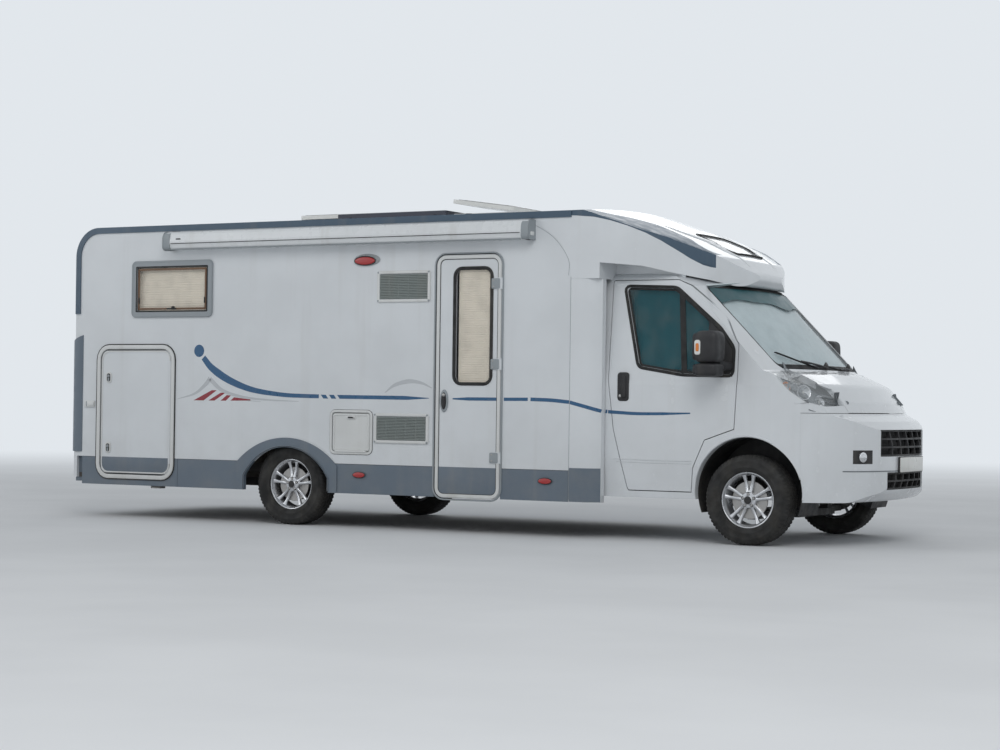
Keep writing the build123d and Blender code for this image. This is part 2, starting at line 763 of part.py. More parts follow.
# Cab body: floor, wheelhouses, pillars, wings and roof frame
with BuildPart() as wheelhouses:
    for side in (-1, 1):
        add(arch_cylinder(front_arch_r + 15, side, wheelhouse_y - 15, cab_half - cab_t + 10))
    add(cab_hull(20), mode=Mode.INTERSECT)
with BuildPart() as cab_body:
    add(cab_skin)
    add(wheelhouses.part)
    add(box(cab(firewall_x), cab(firewall_x + 15), -cab_half + 60, cab_half - 60, cab_floor_z, 1240))
    for side in (-1, 1):
        add(arch_cylinder(front_arch_r, side, wheelhouse_y, cab_half + 60), mode=Mode.SUBTRACT)
        add(side_prism(side, outline(door_outline), cab_half + 60, door_reach, 0, swing_gap),
            mode=Mode.SUBTRACT)
        add(lamp_prism(side, 0), mode=Mode.SUBTRACT)
    add(box(cab(-700), cab(500), -1200, 1200, -200, cab_floor_z), mode=Mode.SUBTRACT)
    add(box(cab(-cab_back - 10), cab(-680), -760, 760, cab_roof_z - 80, cab_roof_z + 40), mode=Mode.SUBTRACT)
    add(bonnet_hole, mode=Mode.SUBTRACT)
    add(screen_cut, mode=Mode.SUBTRACT)
    add(front_hole, mode=Mode.SUBTRACT)
    for side in (-1, 1):
        with BuildSketch(Plane.XZ.offset(-side * bonnet_pin_y)):
            with Locations((cab(bonnet_pin_x), bonnet_pin_z)):
                Circle(bonnet_pin_r)
            with Locations((cab(bonnet_pin_x) - bonnet_pin_r, bonnet_pin_z - 2 * bonnet_pin_r)):
                Rectangle(2 * bonnet_pin_r, 4 * bonnet_pin_r)
        extrude(amount=side * bonnet_pin_l)
finish(cab_body.part, "cab_body")

# Cab doors with their windows cut, the window glass and the mirrors
mirror_out = 1312
mirror_in = 1100
mirror_x = -225
mirror_z = 1410
mirror_l = 235
mirror_h = 350
mirror_foot_x = -165
mirror_foot_z = 1330
mirror_foot_l = 110
mirror_foot_h = 80
for name, side in (("right", -1), ("left", 1)):
    with BuildPart() as cab_door:
        add(cab_skin)
        add(side_prism(side, outline(door_outline), cab_half + 60, door_reach), mode=Mode.INTERSECT)
        add(side_prism(side, outline(window_outline), cab_half + 60, door_reach, 30), mode=Mode.SUBTRACT)
        add(screen_clear, mode=Mode.SUBTRACT)
    finish(cab_door.part, f"cab_door_{name}")
    with BuildPart() as cab_glass:
        add(glass_skin)
        add(side_prism(side, outline(window_outline), cab_half + 60, door_reach, 30), mode=Mode.INTERSECT)
    finish(cab_glass.part, f"cab_glass_{name}")
    with BuildPart() as mirror_unit:
        with BuildSketch(Plane.XZ.offset(-side * mirror_in)):
            with Locations((cab(mirror_x), mirror_z)):
                RectangleRounded(mirror_l, mirror_h, 60)
        extrude(amount=-side * (mirror_out - mirror_in))
        with BuildSketch(Plane.XZ.offset(-side * (cab_half - 30))):
            with Locations((cab(mirror_foot_x), mirror_foot_z)):
                RectangleRounded(mirror_foot_l, mirror_foot_h, 20)
        extrude(amount=-side * (mirror_in - cab_half + 40))
        add(cab_door.part, mode=Mode.SUBTRACT)
        add(cab_glass.part, mode=Mode.SUBTRACT)
        add(cab_hull(cab_t / 2), mode=Mode.SUBTRACT)
    finish(mirror_unit.part.solids().sort_by(SortBy.VOLUME)[-1], f"mirror_{name}")

# Windscreen and the insulating mat behind it
with BuildPart() as windscreen:
    add(glass_skin)
    add(screen_cut, mode=Mode.INTERSECT)
finish(windscreen.part, "windscreen")
with BuildPart() as screen_mat:
    add(mat_skin)
    add(prism(screen_outline, Plane.YZ.offset(cab(-520)), 1100, 60, -12), mode=Mode.INTERSECT)
finish(screen_mat.part, "screen_mat")

# Bonnet, bumper, grille and headlamps
with BuildPart() as bonnet:
    add(front_skin)
    add(bonnet_cut, mode=Mode.INTERSECT)
finish(bonnet.part, "bonnet")

grille_cut = box(cab(650), cab(1200), -grille_w / 2, grille_w / 2, grille_z, grille_top)
intake_cut = box(cab(650), cab(1200), -intake_w / 2, intake_w / 2, intake_z, intake_z + intake_h)
with BuildPart() as front_bumper:
    add(cab_hull(0))
    add(front_box, mode=Mode.INTERSECT)
    add(cab_hull(cab_t), mode=Mode.SUBTRACT)
    for side in (-1, 1):
        add(arch_cylinder(front_arch_r + 5, side, wheelhouse_y - 20, cab_half + 60), mode=Mode.SUBTRACT)
    add(grille_cut, mode=Mode.SUBTRACT)
    add(intake_cut, mode=Mode.SUBTRACT)
finish(front_bumper.part, "front_bumper")

slat_pitch = 50
slat_t = 14
with BuildPart() as grille:
    add(cab_layer(12, 40))
    with BuildPart(mode=Mode.PRIVATE) as slats:
        for low, high, width in ((grille_z, grille_top, grille_w), (intake_z, intake_z + intake_h, intake_w)):
            count = int((high - low) / slat_pitch)
            for turn in range(count + 1):
                z = low + turn * (high - low - slat_t) / count
                add(box(cab(650), cab(1200), -width / 2, width / 2, z, z + slat_t))
            for turn in range(7):
                y = -width / 2 + turn * (width - slat_t) / 6
                add(box(cab(650), cab(1200), y, y + slat_t, low, high))
    add(slats.part, mode=Mode.INTERSECT)
finish(grille.part, "grille")

with BuildPart() as headlamps:
    add(front_skin)
    with BuildPart(mode=Mode.PRIVATE) as lamp_cuts:
        for side in (-1, 1):
            add(lamp_prism(side, 0))
    add(lamp_cuts.part, mode=Mode.INTERSECT)
    add(lamp_clear, mode=Mode.SUBTRACT)
finish(headlamps.part, "headlamps")

# Cap over the cab: a hollow moulding with its own bow, open to the coach behind and the cab below
cap_bow_r = 4500
cap_nose_back = 215
cap_t = 34
cap_tail = 1900
cap_profile = [
    (-cap_tail - 400, roof_edge_z + crown + 80),
    (-1350, 2590),
    (-860, 2422),
    (-570, 2300),
    (-350, 2168),
    (-cap_nose_back, 2030),
    (-270, 1938),
    (-400, 1985),
    (-430, 1700),
    (-cap_tail - 400, 1700),
]
cap_profile_r = [0, 400, 300, 200, 150, 60, 40, 30, 0, 0]
band_t = 9
band_end = -415
band_low_edge = [
    (-seam_back, roof_edge_z - 38), (-1212, 2454), (-1081, 2425), (-946, 2382), (-823, 2330), (-719, 2270),
    (-635, 2208), (-556, 2145), (-480, 2096), (-440, 2082), (band_end, 2078), (band_end, 2700),
    (-seam_back, 2700),
]
band_inner_half = [(-seam_back - 50, 1085), (-1320, 1060), (-1200, 1000), (-1080, 900), (-960, 800),
                   (-840, 730), (-700, 695), (-560, 700), (-480, 670), (-430, 600), (-400, 500), (100, 500)]
band_inner_edge = [(x, -y) for x, y in band_inner_half] + list(reversed(band_inner_half))
cap_window_t = 8
cap_window_x = -590
cap_window_l = 320
cap_window_w = 620
cap_low_edge = [
    (-cap_tail - 400, 1000), (-cap_tail - 400, cap_seam_z), (-column_front_back, cap_seam_z),
    (-column_front_back, 2105), (-840, 2078), (-630, 2025), (-448, 1985), (-270, 1930), (0, 1905),
    (100, 1000),
]
soffit_t = 20
soffit_y = 840
soffit_front = -448
soffit_edge = [(-column_front_back, 2105), (-840, 2078), (-630, 2025), (soffit_front, 1985)]
soffit_profile = (
    [(-column_front_back - soffit_t, cap_seam_z), (-column_front_back, cap_seam_z)] + soffit_edge
    + [(x, z + soffit_t) for x, z in reversed(soffit_edge)]
    + [(-column_front_back - soffit_t, soffit_edge[0][1] + soffit_t)]
)


def cap_hull(inset):
    """The outer form of the cap, drawn in by an inset all round."""
    bow_x = cab(-cap_nose_back - cap_bow_r)
    bow_axis = Axis((bow_x, 0, 0), (0, 0, 1))
    with BuildPart() as bowed:
        with BuildSketch(Plane.XZ):
            with BuildLine():
                FilletPolyline(*[(cab(x), z) for x, z in cap_profile], radius=cap_profile_r, close=True)
            make_face()
            if inset:
                offset(amount=-inset)
        revolve(axis=bow_axis, revolution_arc=120)
    with BuildPart() as hull:
        add(bowed.part.rotate(bow_axis, -60))
        with BuildSketch(Plane.XY):
            with BuildLine():
                for side in (-1, 1):
                    Line((cab(-cap_tail - 200), side * half_w), (cab(-column_front_back), side * half_w))
                    ThreePointArc((cab(-column_front_back), side * half_w), (cab(-849), side * 1079),
                                  (cab(-600), side * 880))
                ThreePointArc((cab(-600), -880), (cab(-cap_nose_back), 0), (cab(-600), 880))
                Line((cab(-cap_tail - 200), half_w), (cab(-cap_tail - 200), -half_w))
            make_face()
            if inset:
                offset(amount=-inset)
        extrude(amount=3000, mode=Mode.INTERSECT)
        with BuildSketch(Plane.YZ.offset(cab(-cap_tail - 400))):
            with BuildLine():
                ThreePointArc((-half_w - 4, roof_edge_z - inset), (0, roof_edge_z + crown - inset),
                              (half_w + 4, roof_edge_z - inset))
                Line((half_w + 4, roof_edge_z - inset), (half_w + 4, 1000))
                Line((half_w + 4, 1000), (-half_w - 4, 1000))
                Line((-half_w - 4, 1000), (-half_w - 4, roof_edge_z - inset))
            make_face()
        extrude(amount=cap_tail + 800, mode=Mode.INTERSECT)
    return hull.part


cap_outer = cap_hull(0)
with BuildPart() as cap_band:
    add(cap_outer)
    add(cap_hull(band_t), mode=Mode.SUBTRACT)
    add(prism(outline(band_low_edge), Plane.XZ.offset(1300), -2600), mode=Mode.INTERSECT)
    add(prism(outline(band_inner_edge), Plane.XY.offset(1000), 2000), mode=Mode.SUBTRACT)
with BuildPart() as cap_window:
    add(cap_outer)
    add(cap_hull(cap_window_t), mode=Mode.SUBTRACT)
    with BuildSketch(Plane.XY.offset(1000)):
        with Locations((cab(cap_window_x), 0)):
            RectangleRounded(cap_window_l, cap_window_w, 60)
    extrude(amount=2000, mode=Mode.INTERSECT)
cap_window_top = cap_window.part.solids().sort_by(Axis.Z)[-1]
finish(cap_window_top, "cap_window")
# Soffit between the cap's lower edge and the cab roof, with a web down to the roof on each side
with BuildPart() as cap_soffit:
    add(prism(outline(soffit_profile), Plane.XZ.offset(half_w), -2 * half_w))
    add(box(cab(-cap_tail), cab(0), -soffit_y, soffit_y, cap_seam_z - 100, 2200), mode=Mode.SUBTRACT)
    for side in (-1, 1):
        y0, y1 = sorted((side * soffit_y, side * (soffit_y + soffit_t)))
        add(box(cab(-column_front_back - soffit_t), cab(soffit_front), y0, y1, cap_seam_z, 2110))
    add(cap_hull(cap_t / 2), mode=Mode.INTERSECT)
    add(cab_hull(0), mode=Mode.SUBTRACT)
with BuildPart() as front_cap:
    add(cap_outer)
    add(cap_hull(cap_t), mode=Mode.SUBTRACT)
    add(cap_band.part, mode=Mode.SUBTRACT)
    add(cap_window_top, mode=Mode.SUBTRACT)
    add(box(seam_x, cab(200), -half_w - 10, half_w + 10, 1000, 3000), mode=Mode.INTERSECT)
    for side in (-1, 1):
        with BuildSketch(Plane.XZ.offset(-side * half_w)):
            with BuildLine():
                Line((seam_x - cap_seam_r, wall_top_z), (seam_x, wall_top_z))
                Line((seam_x, wall_top_z), (seam_x, cap_seam_z))
                RadiusArc((seam_x, cap_seam_z), (seam_x - cap_seam_r, cap_seam_z + cap_seam_r), -cap_seam_r)
                Line((seam_x - cap_seam_r, cap_seam_z + cap_seam_r), (seam_x - cap_seam_r, wall_top_z))
            make_face()
        extrude(amount=side * wall_t)
    add(prism(outline(cap_low_edge), Plane.XZ.offset(1300), -2600), mode=Mode.SUBTRACT)
    add(cab_hull(0), mode=Mode.SUBTRACT)
    add(cap_soffit.part)
finish(front_cap.part, "front_cap")

# Rounded columns between the coach and the cab doors
with BuildPart() as corner_columns:
    for side in (-1, 1):
        with BuildSketch(Plane.XY.offset(skirt_bottom_z)):
            with BuildLine():
                Line((seam_x, side * half_w), (seam_x, side * (half_w - wall_t)))
                ThreePointArc((seam_x, side * (half_w - wall_t)), (cab(-1250), side * (cab_half + 55)),
                              (column_x, side * (cab_half + 5)))
                Line((column_x, side * (cab_half + 5)), (column_x, side * 1088))
                ThreePointArc((column_x, side * 1088), (cab(-1240), side * 1138), (seam_x, side * half_w))
            make_face()
        extrude(amount=cap_seam_z - skirt_bottom_z)
finish(corner_columns.part, "corner_columns")
finish(coach_floor_part - corner_columns.part, "coach_floor")

# Dark trim round the roof edge, from the rear corners to the nose of the cap
trim_h = 52
trim_t = 10
with BuildPart() as roof_trim:
    for side in (-1, 1):
        with BuildSketch(Plane.XZ.offset(-side * half_w)):
            with BuildLine():
                Line((tail_x, arc_z - 500), (tail_x, arc_z))
                RadiusArc((tail_x, arc_z), (arc_x, roof_edge_z), corner_r)
                Line((arc_x, roof_edge_z), (seam_x, roof_edge_z))
                Line((seam_x, roof_edge_z), (seam_x, roof_edge_z - trim_h))
                Line((seam_x, roof_edge_z - trim_h), (arc_x, roof_edge_z - trim_h))
                RadiusArc((arc_x, roof_edge_z - trim_h), (tail_x + trim_h, arc_z), -(corner_r - trim_h))
                Line((tail_x + trim_h, arc_z), (tail_x + trim_h, arc_z - 500))
                Line((tail_x + trim_h, arc_z - 500), (tail_x, arc_z - 500))
            make_face()
        extrude(amount=-side * trim_t)
    add(cap_band.part)
finish(roof_trim.part, "roof_trim")

# Entry door with its glass, hinged at its front edge
with BuildPart() as entry_door:
    add(side_prism(-1, rectangle(entry_x0, entry_z, entry_w, entry_h), half_w, wall_t, door_corner_r))
    add(side_prism(-1, rectangle(entry_x0 + entry_window_x, entry_z + entry_window_z, entry_window_w,
                                 entry_window_h), half_w + 10, wall_t + 20, 60), mode=Mode.SUBTRACT)
    for hinge_z in entry_hinges_z:
        with BuildSketch(Plane.XY.offset(hinge_z - entry_hinge_l / 2)):
            with Locations((entry_x0 + entry_w + hinge_gap, -half_w - hinge_out)):
                Circle(hinge_r)
            with Locations((entry_x0 + entry_w - 26, -half_w - hinge_out / 2)):
                Rectangle(64, hinge_out)
        extrude(amount=entry_hinge_l)
finish(entry_door.part, "entry_door")
with BuildPart() as entry_glass:
    add(side_prism(-1, rectangle(entry_x0 + entry_window_x, entry_z + entry_window_z, entry_window_w,
                                 entry_window_h), half_w - 4, pane_t, 60))
finish(entry_glass.part, "entry_glass")

# Garage doors, with the hinge tube up the front edge
for name, side in (("right", -1), ("left", 1)):
    with BuildPart() as garage_door:
        add(side_prism(side, rectangle(coach(garage_door_x), garage_door_z, garage_door_w, garage_door_h),
                       half_w, wall_t, 60))
        with BuildSketch(Plane.XY.offset(garage_door_z + 90)):
            with Locations((coach(garage_door_x + garage_door_w) + hinge_gap, side * (half_w + hinge_out))):
                Circle(hinge_r)
        extrude(amount=garage_door_h - 180)
    finish(garage_door.part, f"garage_door_{name}")

# Service flap, with its hinge tube along the foot
with BuildPart() as service_flap:
    add(side_prism(-1, rectangle(coach(flap_x), flap_z, flap_w, flap_h), half_w, wall_t, flap_corner_r))
    with BuildSketch(Plane.YZ.offset(coach(flap_x) + 30)):
        with Locations((-half_w - hinge_out, flap_z - hinge_gap)):
            Circle(hinge_r)
    extrude(amount=flap_w - 60)
finish(service_flap.part, "service_flap")

# Window frames and panes
frames = []
panes = []
for side, x, z, w, h in window_table:
    with BuildPart() as frame:
        add(side_prism(side, rectangle(coach(x), z, w, h), half_w + window_proud, window_proud, 45))
        add(side_prism(side, rectangle(coach(x), z, w, h), half_w, wall_t, 45, -window_frame_w / 2))
        add(side_prism(side, rectangle(coach(x), z, w, h), half_w + 40, wall_t + 80, 45, -window_frame_w),
            mode=Mode.SUBTRACT)
    frames.append(frame.part.solid())
    panes.append(side_prism(side, rectangle(coach(x), z, w, h), half_w + 6, pane_t, 45,
                            -window_frame_w).solid())
rear_frame_x = tail_x - crown
with BuildPart() as frame:
    with BuildSketch(Plane.YZ.offset(rear_frame_x - rear_window_proud)):
        with Locations((0, rear_window_z + rear_window_h / 2)):
            RectangleRounded(rear_window_w, rear_window_h, 45)
            RectangleRounded(rear_window_w - 2 * window_frame_w, rear_window_h - 2 * window_frame_w, 30,
                             mode=Mode.SUBTRACT)
    extrude(amount=rear_window_proud + 20)
    with BuildSketch(Plane.YZ.offset(rear_frame_x - rear_window_proud)):
        with Locations((0, rear_window_z + rear_window_h / 2)):
            RectangleRounded(rear_window_w - window_frame_w, rear_window_h - window_frame_w, 50)
            RectangleRounded(rear_window_w - 2 * window_frame_w, rear_window_h - 2 * window_frame_w, 30,
                             mode=Mode.SUBTRACT)
    extrude(amount=rear_window_proud + 40)
    add(rear_wall.part, mode=Mode.SUBTRACT)
frames.append(frame.part.solids().sort_by(SortBy.VOLUME)[-1])
with BuildPart() as pane:
    with BuildSketch(Plane.YZ.offset(rear_frame_x)):
        with Locations((0, rear_window_z + rear_window_h / 2)):
            RectangleRounded(rear_window_w - 2 * window_frame_w, rear_window_h - 2 * window_frame_w, 30)
    extrude(amount=pane_t)
panes.append(pane.part.solid())
finish(Compound(frames), "window_frames")
finish(Compound(panes), "window_panes")

# Fridge vents
vents = [side_prism(side, rectangle(coach(x), z, w, h), half_w + vent_t, vent_t, 20).solid()
         for side, x, z, w, h in vent_table]
finish(Compound(vents), "fridge_vents")

# Rooflights: frames on the roof and their lids, the front one propped open
roof_z = roof_edge_z + crown
frame_top = roof_z + hatch_frame_h
rooflight_frames = []
lid_gap = 6
lid_pin_r = 5
lid_pin_l = 240
for name, front_x, size_l, size_w, angle in (("front", hatch_front_x, hatch_l, hatch_w, hatch_open),
                                             ("rear", rear_hatch_front_x, rear_hatch_l, rear_hatch_w, 0)):
    with BuildPart() as hatch_frame:
        add(box(coach(front_x - size_l), coach(front_x), -size_w / 2, size_w / 2, roof_edge_z, frame_top))
        add(box(coach(front_x - size_l + 50), coach(front_x - 50), 50 - size_w / 2, size_w / 2 - 50,
                roof_edge_z - 100, frame_top + 100), mode=Mode.SUBTRACT)
        add(roof_panel.part, mode=Mode.SUBTRACT)
        with BuildSketch(Plane.XZ.offset(-lid_pin_l / 2)):
            with Locations((coach(front_x), frame_top + lid_gap)):
                Circle(lid_pin_r)
            with Locations((coach(front_x) - lid_pin_r / 2, frame_top)):
                Rectangle(lid_pin_r, 2 * lid_gap)
        extrude(amount=lid_pin_l)
    rooflight_frames.append(hatch_frame.part.solids().sort_by(Axis.Z)[-1])
    with BuildPart() as lid:
        add(box(coach(front_x - size_l - 20), coach(front_x), -size_w / 2 - 20, size_w / 2 + 20,
                frame_top + lid_gap, frame_top + lid_gap + hatch_lid_h))
        fillet(lid.edges().filter_by(Axis.Z), 40)
        with BuildSketch(Plane.XZ.offset(-lid_pin_l / 2 - lid_gap)):
            with Locations((coach(front_x), frame_top + lid_gap)):
                Circle(lid_pin_r + seat_gap)
        extrude(amount=lid_pin_l + 2 * lid_gap, mode=Mode.SUBTRACT)
    turned_lid = lid.part.rotate(Axis((coach(front_x), 0, frame_top + lid_gap), (0, 1, 0)), angle)
    finish(turned_lid, f"rooflight_lid_{name}")
finish(Compound(rooflight_frames), "rooflight_frames")

# Solar panel on four feet
with BuildPart() as solar_panel:
    add(box(coach(solar_x), coach(solar_x + solar_l), -solar_w / 2, solar_w / 2, roof_z + 25,
            roof_z + 25 + solar_t))
    with BuildPart(mode=Mode.PRIVATE) as feet:
        for x in (solar_x + 80, solar_x + solar_l - 160):
            for side in (-1, 1):
                add(box(coach(x), coach(x + 80), side * solar_w / 2 - 60, side * solar_w / 2 + 60,
                        roof_edge_z + 10, roof_z + 25))
        add(roof_panel.part, mode=Mode.SUBTRACT)
    add([solid for solid in feet.part.solids() if solid.center().Z > roof_edge_z + 50])
finish(solar_panel.part, "solar_panel")

# Awning cassette along the right side
with BuildPart() as awning_cassette:
    with BuildSketch(Plane.YZ.offset(coach(awning_back))):
        with BuildLine():
            FilletPolyline(
                (-half_w, awning_z),
                (-half_w - awning_d + 20, awning_z),
                (-half_w - awning_d, awning_z + 60),
                (-half_w - awning_d + 20, awning_z + awning_h),
                (-half_w, awning_z + awning_h),
                radius=[30, 60, 40],
            )
            Line((-half_w, awning_z + awning_h), (-half_w, awning_z))
        make_face()
    extrude(amount=awning_l)
finish(awning_cassette.part, "awning_cassette")

# Dashboard, steering wheel and seats
dashboard_profile = [
    (firewall_x, 820), (-180, 820), (-330, 1000), (-330, 1100), (-220, 1220), (firewall_x, 1240),
]
dashboard_w = 1880
with BuildPart() as dashboard:
    add(prism(outline(dashboard_profile), Plane.XZ.offset(dashboard_w / 2), -dashboard_w))
finish(dashboard.part, "dashboard")

wheel_x = -480
wheel_y = 480
wheel_z = 1150
wheel_plane = Plane(origin=(cab(wheel_x), wheel_y, wheel_z), x_dir=(0, 1, 0), z_dir=(-1, 0, 1))
with BuildPart() as steering_wheel:
    with BuildSketch(Plane(origin=wheel_plane.origin + wheel_plane.x_dir * 185, x_dir=wheel_plane.x_dir,
                           z_dir=wheel_plane.y_dir)):
        Circle(14)
    revolve(axis=Axis(wheel_plane.origin, wheel_plane.z_dir))
    with BuildSketch(wheel_plane):
        Circle(55)
        Rectangle(370, 40)
    extrude(amount=12, both=True)
    with BuildSketch(wheel_plane):
        Circle(28)
    extrude(amount=-320)
    add(dashboard.part, mode=Mode.SUBTRACT)
steering_wheel.part = steering_wheel.part.solids().sort_by(SortBy.VOLUME)[-1]
finish(steering_wheel.part, "steering_wheel")

seat_profile = [
    (-480, cab_floor_z + cab_t), (-900, cab_floor_z + cab_t), (-900, 760), (-1060, 1480), (-940, 1500),
    (-800, 860), (-400, 840), (-400, 720), (-480, 700),
]
seat_w = 520
with BuildPart() as cab_seats:
    for y in (-wheel_y, wheel_y):
        add(prism(outline(seat_profile), Plane.XZ.offset(y + seat_w / 2), -seat_w, 30))
finish(cab_seats.part, "cab_seats")
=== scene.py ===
import json
import math

import bpy
import numpy as np
from mathutils import Matrix, Vector
from mathutils.bvhtree import BVHTree


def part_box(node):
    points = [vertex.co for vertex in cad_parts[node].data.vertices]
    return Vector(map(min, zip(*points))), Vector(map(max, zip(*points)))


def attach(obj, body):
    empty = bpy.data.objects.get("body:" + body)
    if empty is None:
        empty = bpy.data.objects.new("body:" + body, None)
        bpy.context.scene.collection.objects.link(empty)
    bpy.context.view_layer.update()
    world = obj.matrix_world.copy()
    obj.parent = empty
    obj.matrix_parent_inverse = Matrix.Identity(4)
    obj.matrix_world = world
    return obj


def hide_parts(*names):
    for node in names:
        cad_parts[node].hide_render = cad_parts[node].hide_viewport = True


# A coachbuilt camper van. x points forwards, y to the left, z up, in metres.

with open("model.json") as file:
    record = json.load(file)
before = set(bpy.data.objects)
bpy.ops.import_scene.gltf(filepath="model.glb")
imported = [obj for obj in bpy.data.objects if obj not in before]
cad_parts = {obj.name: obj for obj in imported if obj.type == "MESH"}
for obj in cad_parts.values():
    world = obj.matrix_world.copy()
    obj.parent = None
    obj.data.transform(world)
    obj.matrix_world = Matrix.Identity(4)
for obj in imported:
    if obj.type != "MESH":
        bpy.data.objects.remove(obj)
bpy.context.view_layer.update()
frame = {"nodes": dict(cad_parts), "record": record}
nodes = frame["nodes"]


def centreOf(node):
    low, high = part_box(node)
    return (low + high) / 2


rearAxle = centreOf("tyre_rear_right")
frontAxle = centreOf("tyre_front_right")
halfWidth = -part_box("side_wall_right")[0].y
tyreRadius = rearAxle.z


def coach(distance):  # x of a point measured forwards from the rear axle
    return rearAxle.x + distance


def cab(distance):  # x of a point measured forwards from the front axle
    return frontAxle.x + distance


def handOf(side):  # -1 is the right side, 1 the left one
    return "right" if side < 0 else "left"


# finishes

class Wire:
    # a socket in a node tree; sums, products and powers of wires add Math nodes

    def __init__(self, tree, socket):
        self.tree = tree
        self.socket = socket

    def calc(self, operation, *terms):
        return self.tree.add("ShaderNodeMath", {"operation": operation}, dict(enumerate(terms)))

    def __add__(self, other):
        return self.calc("ADD", self, other)

    def __mul__(self, other):
        return self.calc("MULTIPLY", self, other)

    def __pow__(self, other):
        return self.calc("POWER", self, other)

    def ramp(self, low, high, start=0.0, end=1.0):
        # smooth step from start to end as the wire goes from low to high
        return self.tree.add("ShaderNodeMapRange", {"interpolation_type": "SMOOTHSTEP", "clamp": True},
                             {"Value": self, "From Min": low, "From Max": high,
                              "To Min": start, "To Max": end})


class Finish:
    # a material being built around one Principled shader

    def __init__(self, name, **fixed):
        self.material = bpy.data.materials.new(name)
        self.material.use_nodes = True
        self.tree = self.material.node_tree
        self.shader = self.tree.nodes["Principled BSDF"]
        self.output = self.tree.nodes["Material Output"]
        self.feed(self.shader, fixed)

    def feed(self, node, inputs):
        for key, value in inputs.items():
            socket = node.inputs[key]
            if isinstance(value, Wire):
                self.tree.links.new(value.socket, socket)
            elif (hasattr(value, "__len__") and len(value) == 3
                  and len(getattr(socket, "default_value", ())) == 4):
                socket.default_value = (*value, 1.0)
            else:
                socket.default_value = value

    def add(self, kind, settings=None, inputs=None, output=0):
        node = self.tree.nodes.new(kind)
        for key, value in (settings or {}).items():
            setattr(node, key, value)
        self.feed(node, inputs or {})
        return Wire(self, node.outputs[output])

    def axes(self):  # x, y and z of the piece's own place
        place = self.add("ShaderNodeTexCoord", output="Object")
        split = self.tree.nodes.new("ShaderNodeSeparateXYZ")
        self.feed(split, {0: place})
        return place, *[Wire(self, split.outputs[i]) for i in range(3)]

    def noise(self, place, scale, detail=3.0, stretch=(1, 1, 1), rough=0.5):
        if stretch != (1, 1, 1):
            place = self.add("ShaderNodeMapping", None, {"Vector": place, "Scale": stretch})
        return self.add("ShaderNodeTexNoise", None, {"Vector": place, "Scale": scale, "Detail": detail,
                                                     "Roughness": rough})

    def blend(self, share, first, second):  # colour between two colours
        node = self.tree.nodes.new("ShaderNodeMix")
        node.data_type = "RGBA"
        for socket, value in ((node.inputs[0], share), (node.inputs[6], first), (node.inputs[7], second)):
            if isinstance(value, Wire):
                self.tree.links.new(value.socket, socket)
            else:
                socket.default_value = (*value, 1.0) if hasattr(value, "__len__") else value
        return Wire(self, node.outputs[2])

    def bump(self, height, strength, distance=0.001, edge=0.0):
        inputs = {"Height": height, "Strength": strength, "Distance": distance}
        if edge:
            inputs["Normal"] = self.add("ShaderNodeBevel", {"samples": 4}, {"Radius": edge})
        return self.add("ShaderNodeBump", None, inputs)

    def done(self, **varying):
        self.feed(self.shader, varying)
        return self.material


def sheenPaint(name, colour, roughness=0.3, coat=0.0, metallic=0.0, shade=0.06, dirt=0.0, peel=0.15,
               grain=320.0, edge=0.0):
    # base colour with a cloudy change of tone, rain streaks that run down and dust low down;
    # the height is a fine grain
    f = Finish(name, Metallic=metallic, **{"Coat Weight": coat, "Coat Roughness": 0.06})
    place, _, _, z = f.axes()
    cloud = f.noise(place, 2.2, 4.0)
    tone = f.blend(cloud.ramp(0.3, 0.7), [c * (1 - shade) for c in colour], colour)
    streak = f.noise(place, 9.0, 4.0, (1.0, 1.0, 0.06)).ramp(0.52, 0.78)
    low = z.ramp(1.1, 0.25)
    speck = f.noise(place, 5.0, 6.0, rough=0.65).ramp(0.35, 0.8)
    film = (streak * 0.35 + low * speck * 0.5) * dirt
    tone = f.blend(film, tone, (0.33, 0.30, 0.25))
    rough = f.noise(place, 14.0, 3.0).ramp(0.3, 0.7, roughness * 0.85, roughness * 1.2) + film * 0.4
    height = f.noise(place, grain, 2.0)
    return f.done(**{"Base Color": tone, "Roughness": rough, "Normal": f.bump(height, peel, 0.0006, edge)})


def tintedGlass(name, colour, alpha, roughness=0.04):
    # clear glass with a film of dust that is thicker in cloudy patches
    f = Finish(name, **{"Specular IOR Level": 0.45, "Coat Weight": 0.1, "Coat Roughness": 0.03})
    place = f.axes()[0]
    dust = f.noise(place, 7.0, 5.0).ramp(0.4, 0.8)
    tone = f.blend(dust * 0.12, colour, (0.6, 0.58, 0.52))
    return f.done(**{"Base Color": tone, "Roughness": dust * 0.08 + roughness, "Alpha": dust * 0.06 + alpha})


